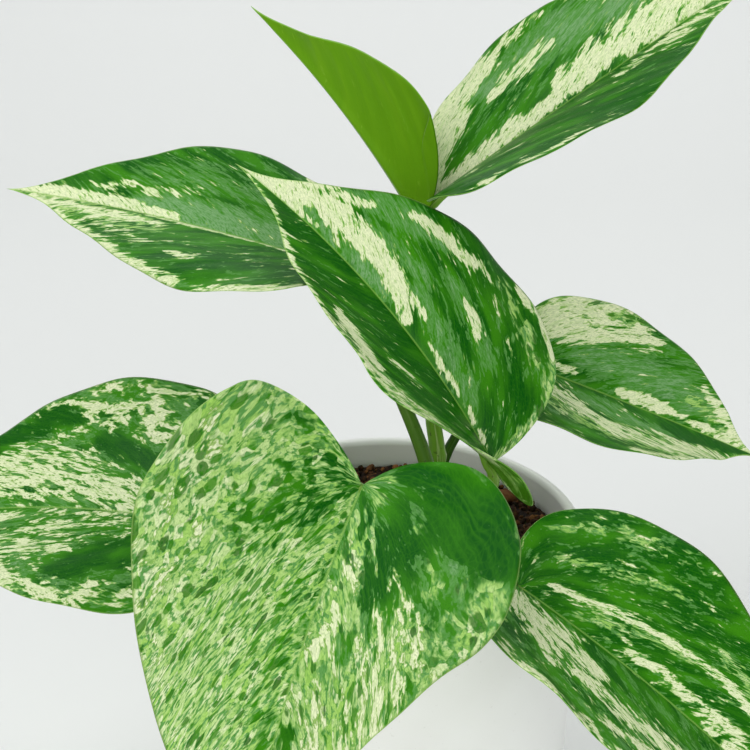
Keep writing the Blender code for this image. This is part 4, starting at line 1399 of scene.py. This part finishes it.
class POTHOS_OT_stage(bpy.types.Operator):
    """Add the plain floor with its curved backdrop, the soft lights and the camera"""

    bl_idname = "pothos.stage"
    bl_label = "Stage"

    def execute(self, context):
        s = context.scene.pothos_stage
        scene = context.scene
        half, front, back, bend, top = 2.5, -1.6, 1.1, 0.5, 2.4
        below = -0.4 * MM
        outline = [(front, below), (back - bend, below)]
        outline += [(back - bend + bend * math.sin(a), bend - bend * math.cos(a))
                    for a in np.linspace(0, math.pi / 2, 17)[1:]]
        outline.append((back, top))
        points = [(x, y, z) for y, z in outline for x in (-half, half)]
        faces = [(2 * k, 2 * k + 1, 2 * k + 3, 2 * k + 2) for k in range(len(outline) - 1)]
        mesh = bpy.data.meshes.new("floor")
        mesh.from_pydata(points, [], faces)
        mesh.shade_smooth()
        floor = bpy.data.objects.new("floor", mesh)
        scene.collection.objects.link(floor)
        made, g, shader = new_material("Pale floor")
        at = g.add("ShaderNodeTexCoord").outputs["Object"]
        g.put(shader.inputs["Base Color"], g.mix(g.noise(at, 3.0), s.floor, FLOOR_CLOUD))
        shader.inputs["Roughness"].default_value = 0.65
        mesh.materials.append(made)

        for name, place, aim, size, share in LIGHTS:
            area_light(name, place, aim, size, s.key_power * share)

        world = bpy.data.worlds.new("Soft room")
        world.use_nodes = True
        sky = world.node_tree.nodes["Background"]
        sky.inputs["Color"].default_value = (0.93, 0.96, 1.0, 1)
        sky.inputs["Strength"].default_value = 0.42
        scene.world = world

        data = bpy.data.cameras.new("camera")
        data.lens, data.sensor_width = CAMERA_LENS, SENSOR_WIDTH
        camera = bpy.data.objects.new("camera", data)
        camera.location = CAMERA_PLACE
        camera.rotation_euler = (math.radians(CAMERA_TILT), 0, 0)
        scene.collection.objects.link(camera)
        scene.camera = camera
        scene.view_settings.view_transform = "Standard"
        return {"FINISHED"}


class POTHOS_PT_panel(bpy.types.Panel):
    """Lists the operators that build the plant"""

    bl_idname = "POTHOS_PT_panel"
    bl_label = "Potted Pothos"
    bl_space_type = "VIEW_3D"
    bl_region_type = "UI"
    bl_category = "Pothos"

    def draw(self, context):
        for operator in OPERATORS:
            self.layout.operator(operator.bl_idname)


OPERATORS = (POTHOS_OT_pot, POTHOS_OT_soil, POTHOS_OT_stalks, POTHOS_OT_leaves,
             POTHOS_OT_stage)
SETTINGS = {"pothos_pot": PothosPotSettings, "pothos_soil": PothosSoilSettings,
            "pothos_leaf": PothosLeafSettings, "pothos_stalk": PothosStalkSettings,
            "pothos_stage": PothosStageSettings}


def register():
    for kind in (*SETTINGS.values(), *OPERATORS, POTHOS_PT_panel):
        bpy.utils.register_class(kind)
    for name, kind in SETTINGS.items():
        setattr(bpy.types.Scene, name, bpy.props.PointerProperty(type=kind))


def unregister():
    for name in SETTINGS:
        delattr(bpy.types.Scene, name)
    for kind in (POTHOS_PT_panel, *OPERATORS, *SETTINGS.values()):
        bpy.utils.unregister_class(kind)


def main():
    register()
    bpy.ops.pothos.pot()
    bpy.ops.pothos.soil()
    bpy.ops.pothos.stalks()
    bpy.ops.pothos.leaves()
    bpy.ops.pothos.stage()
    bpy.context.view_layer.update()


if __name__ == "__main__":
    main()
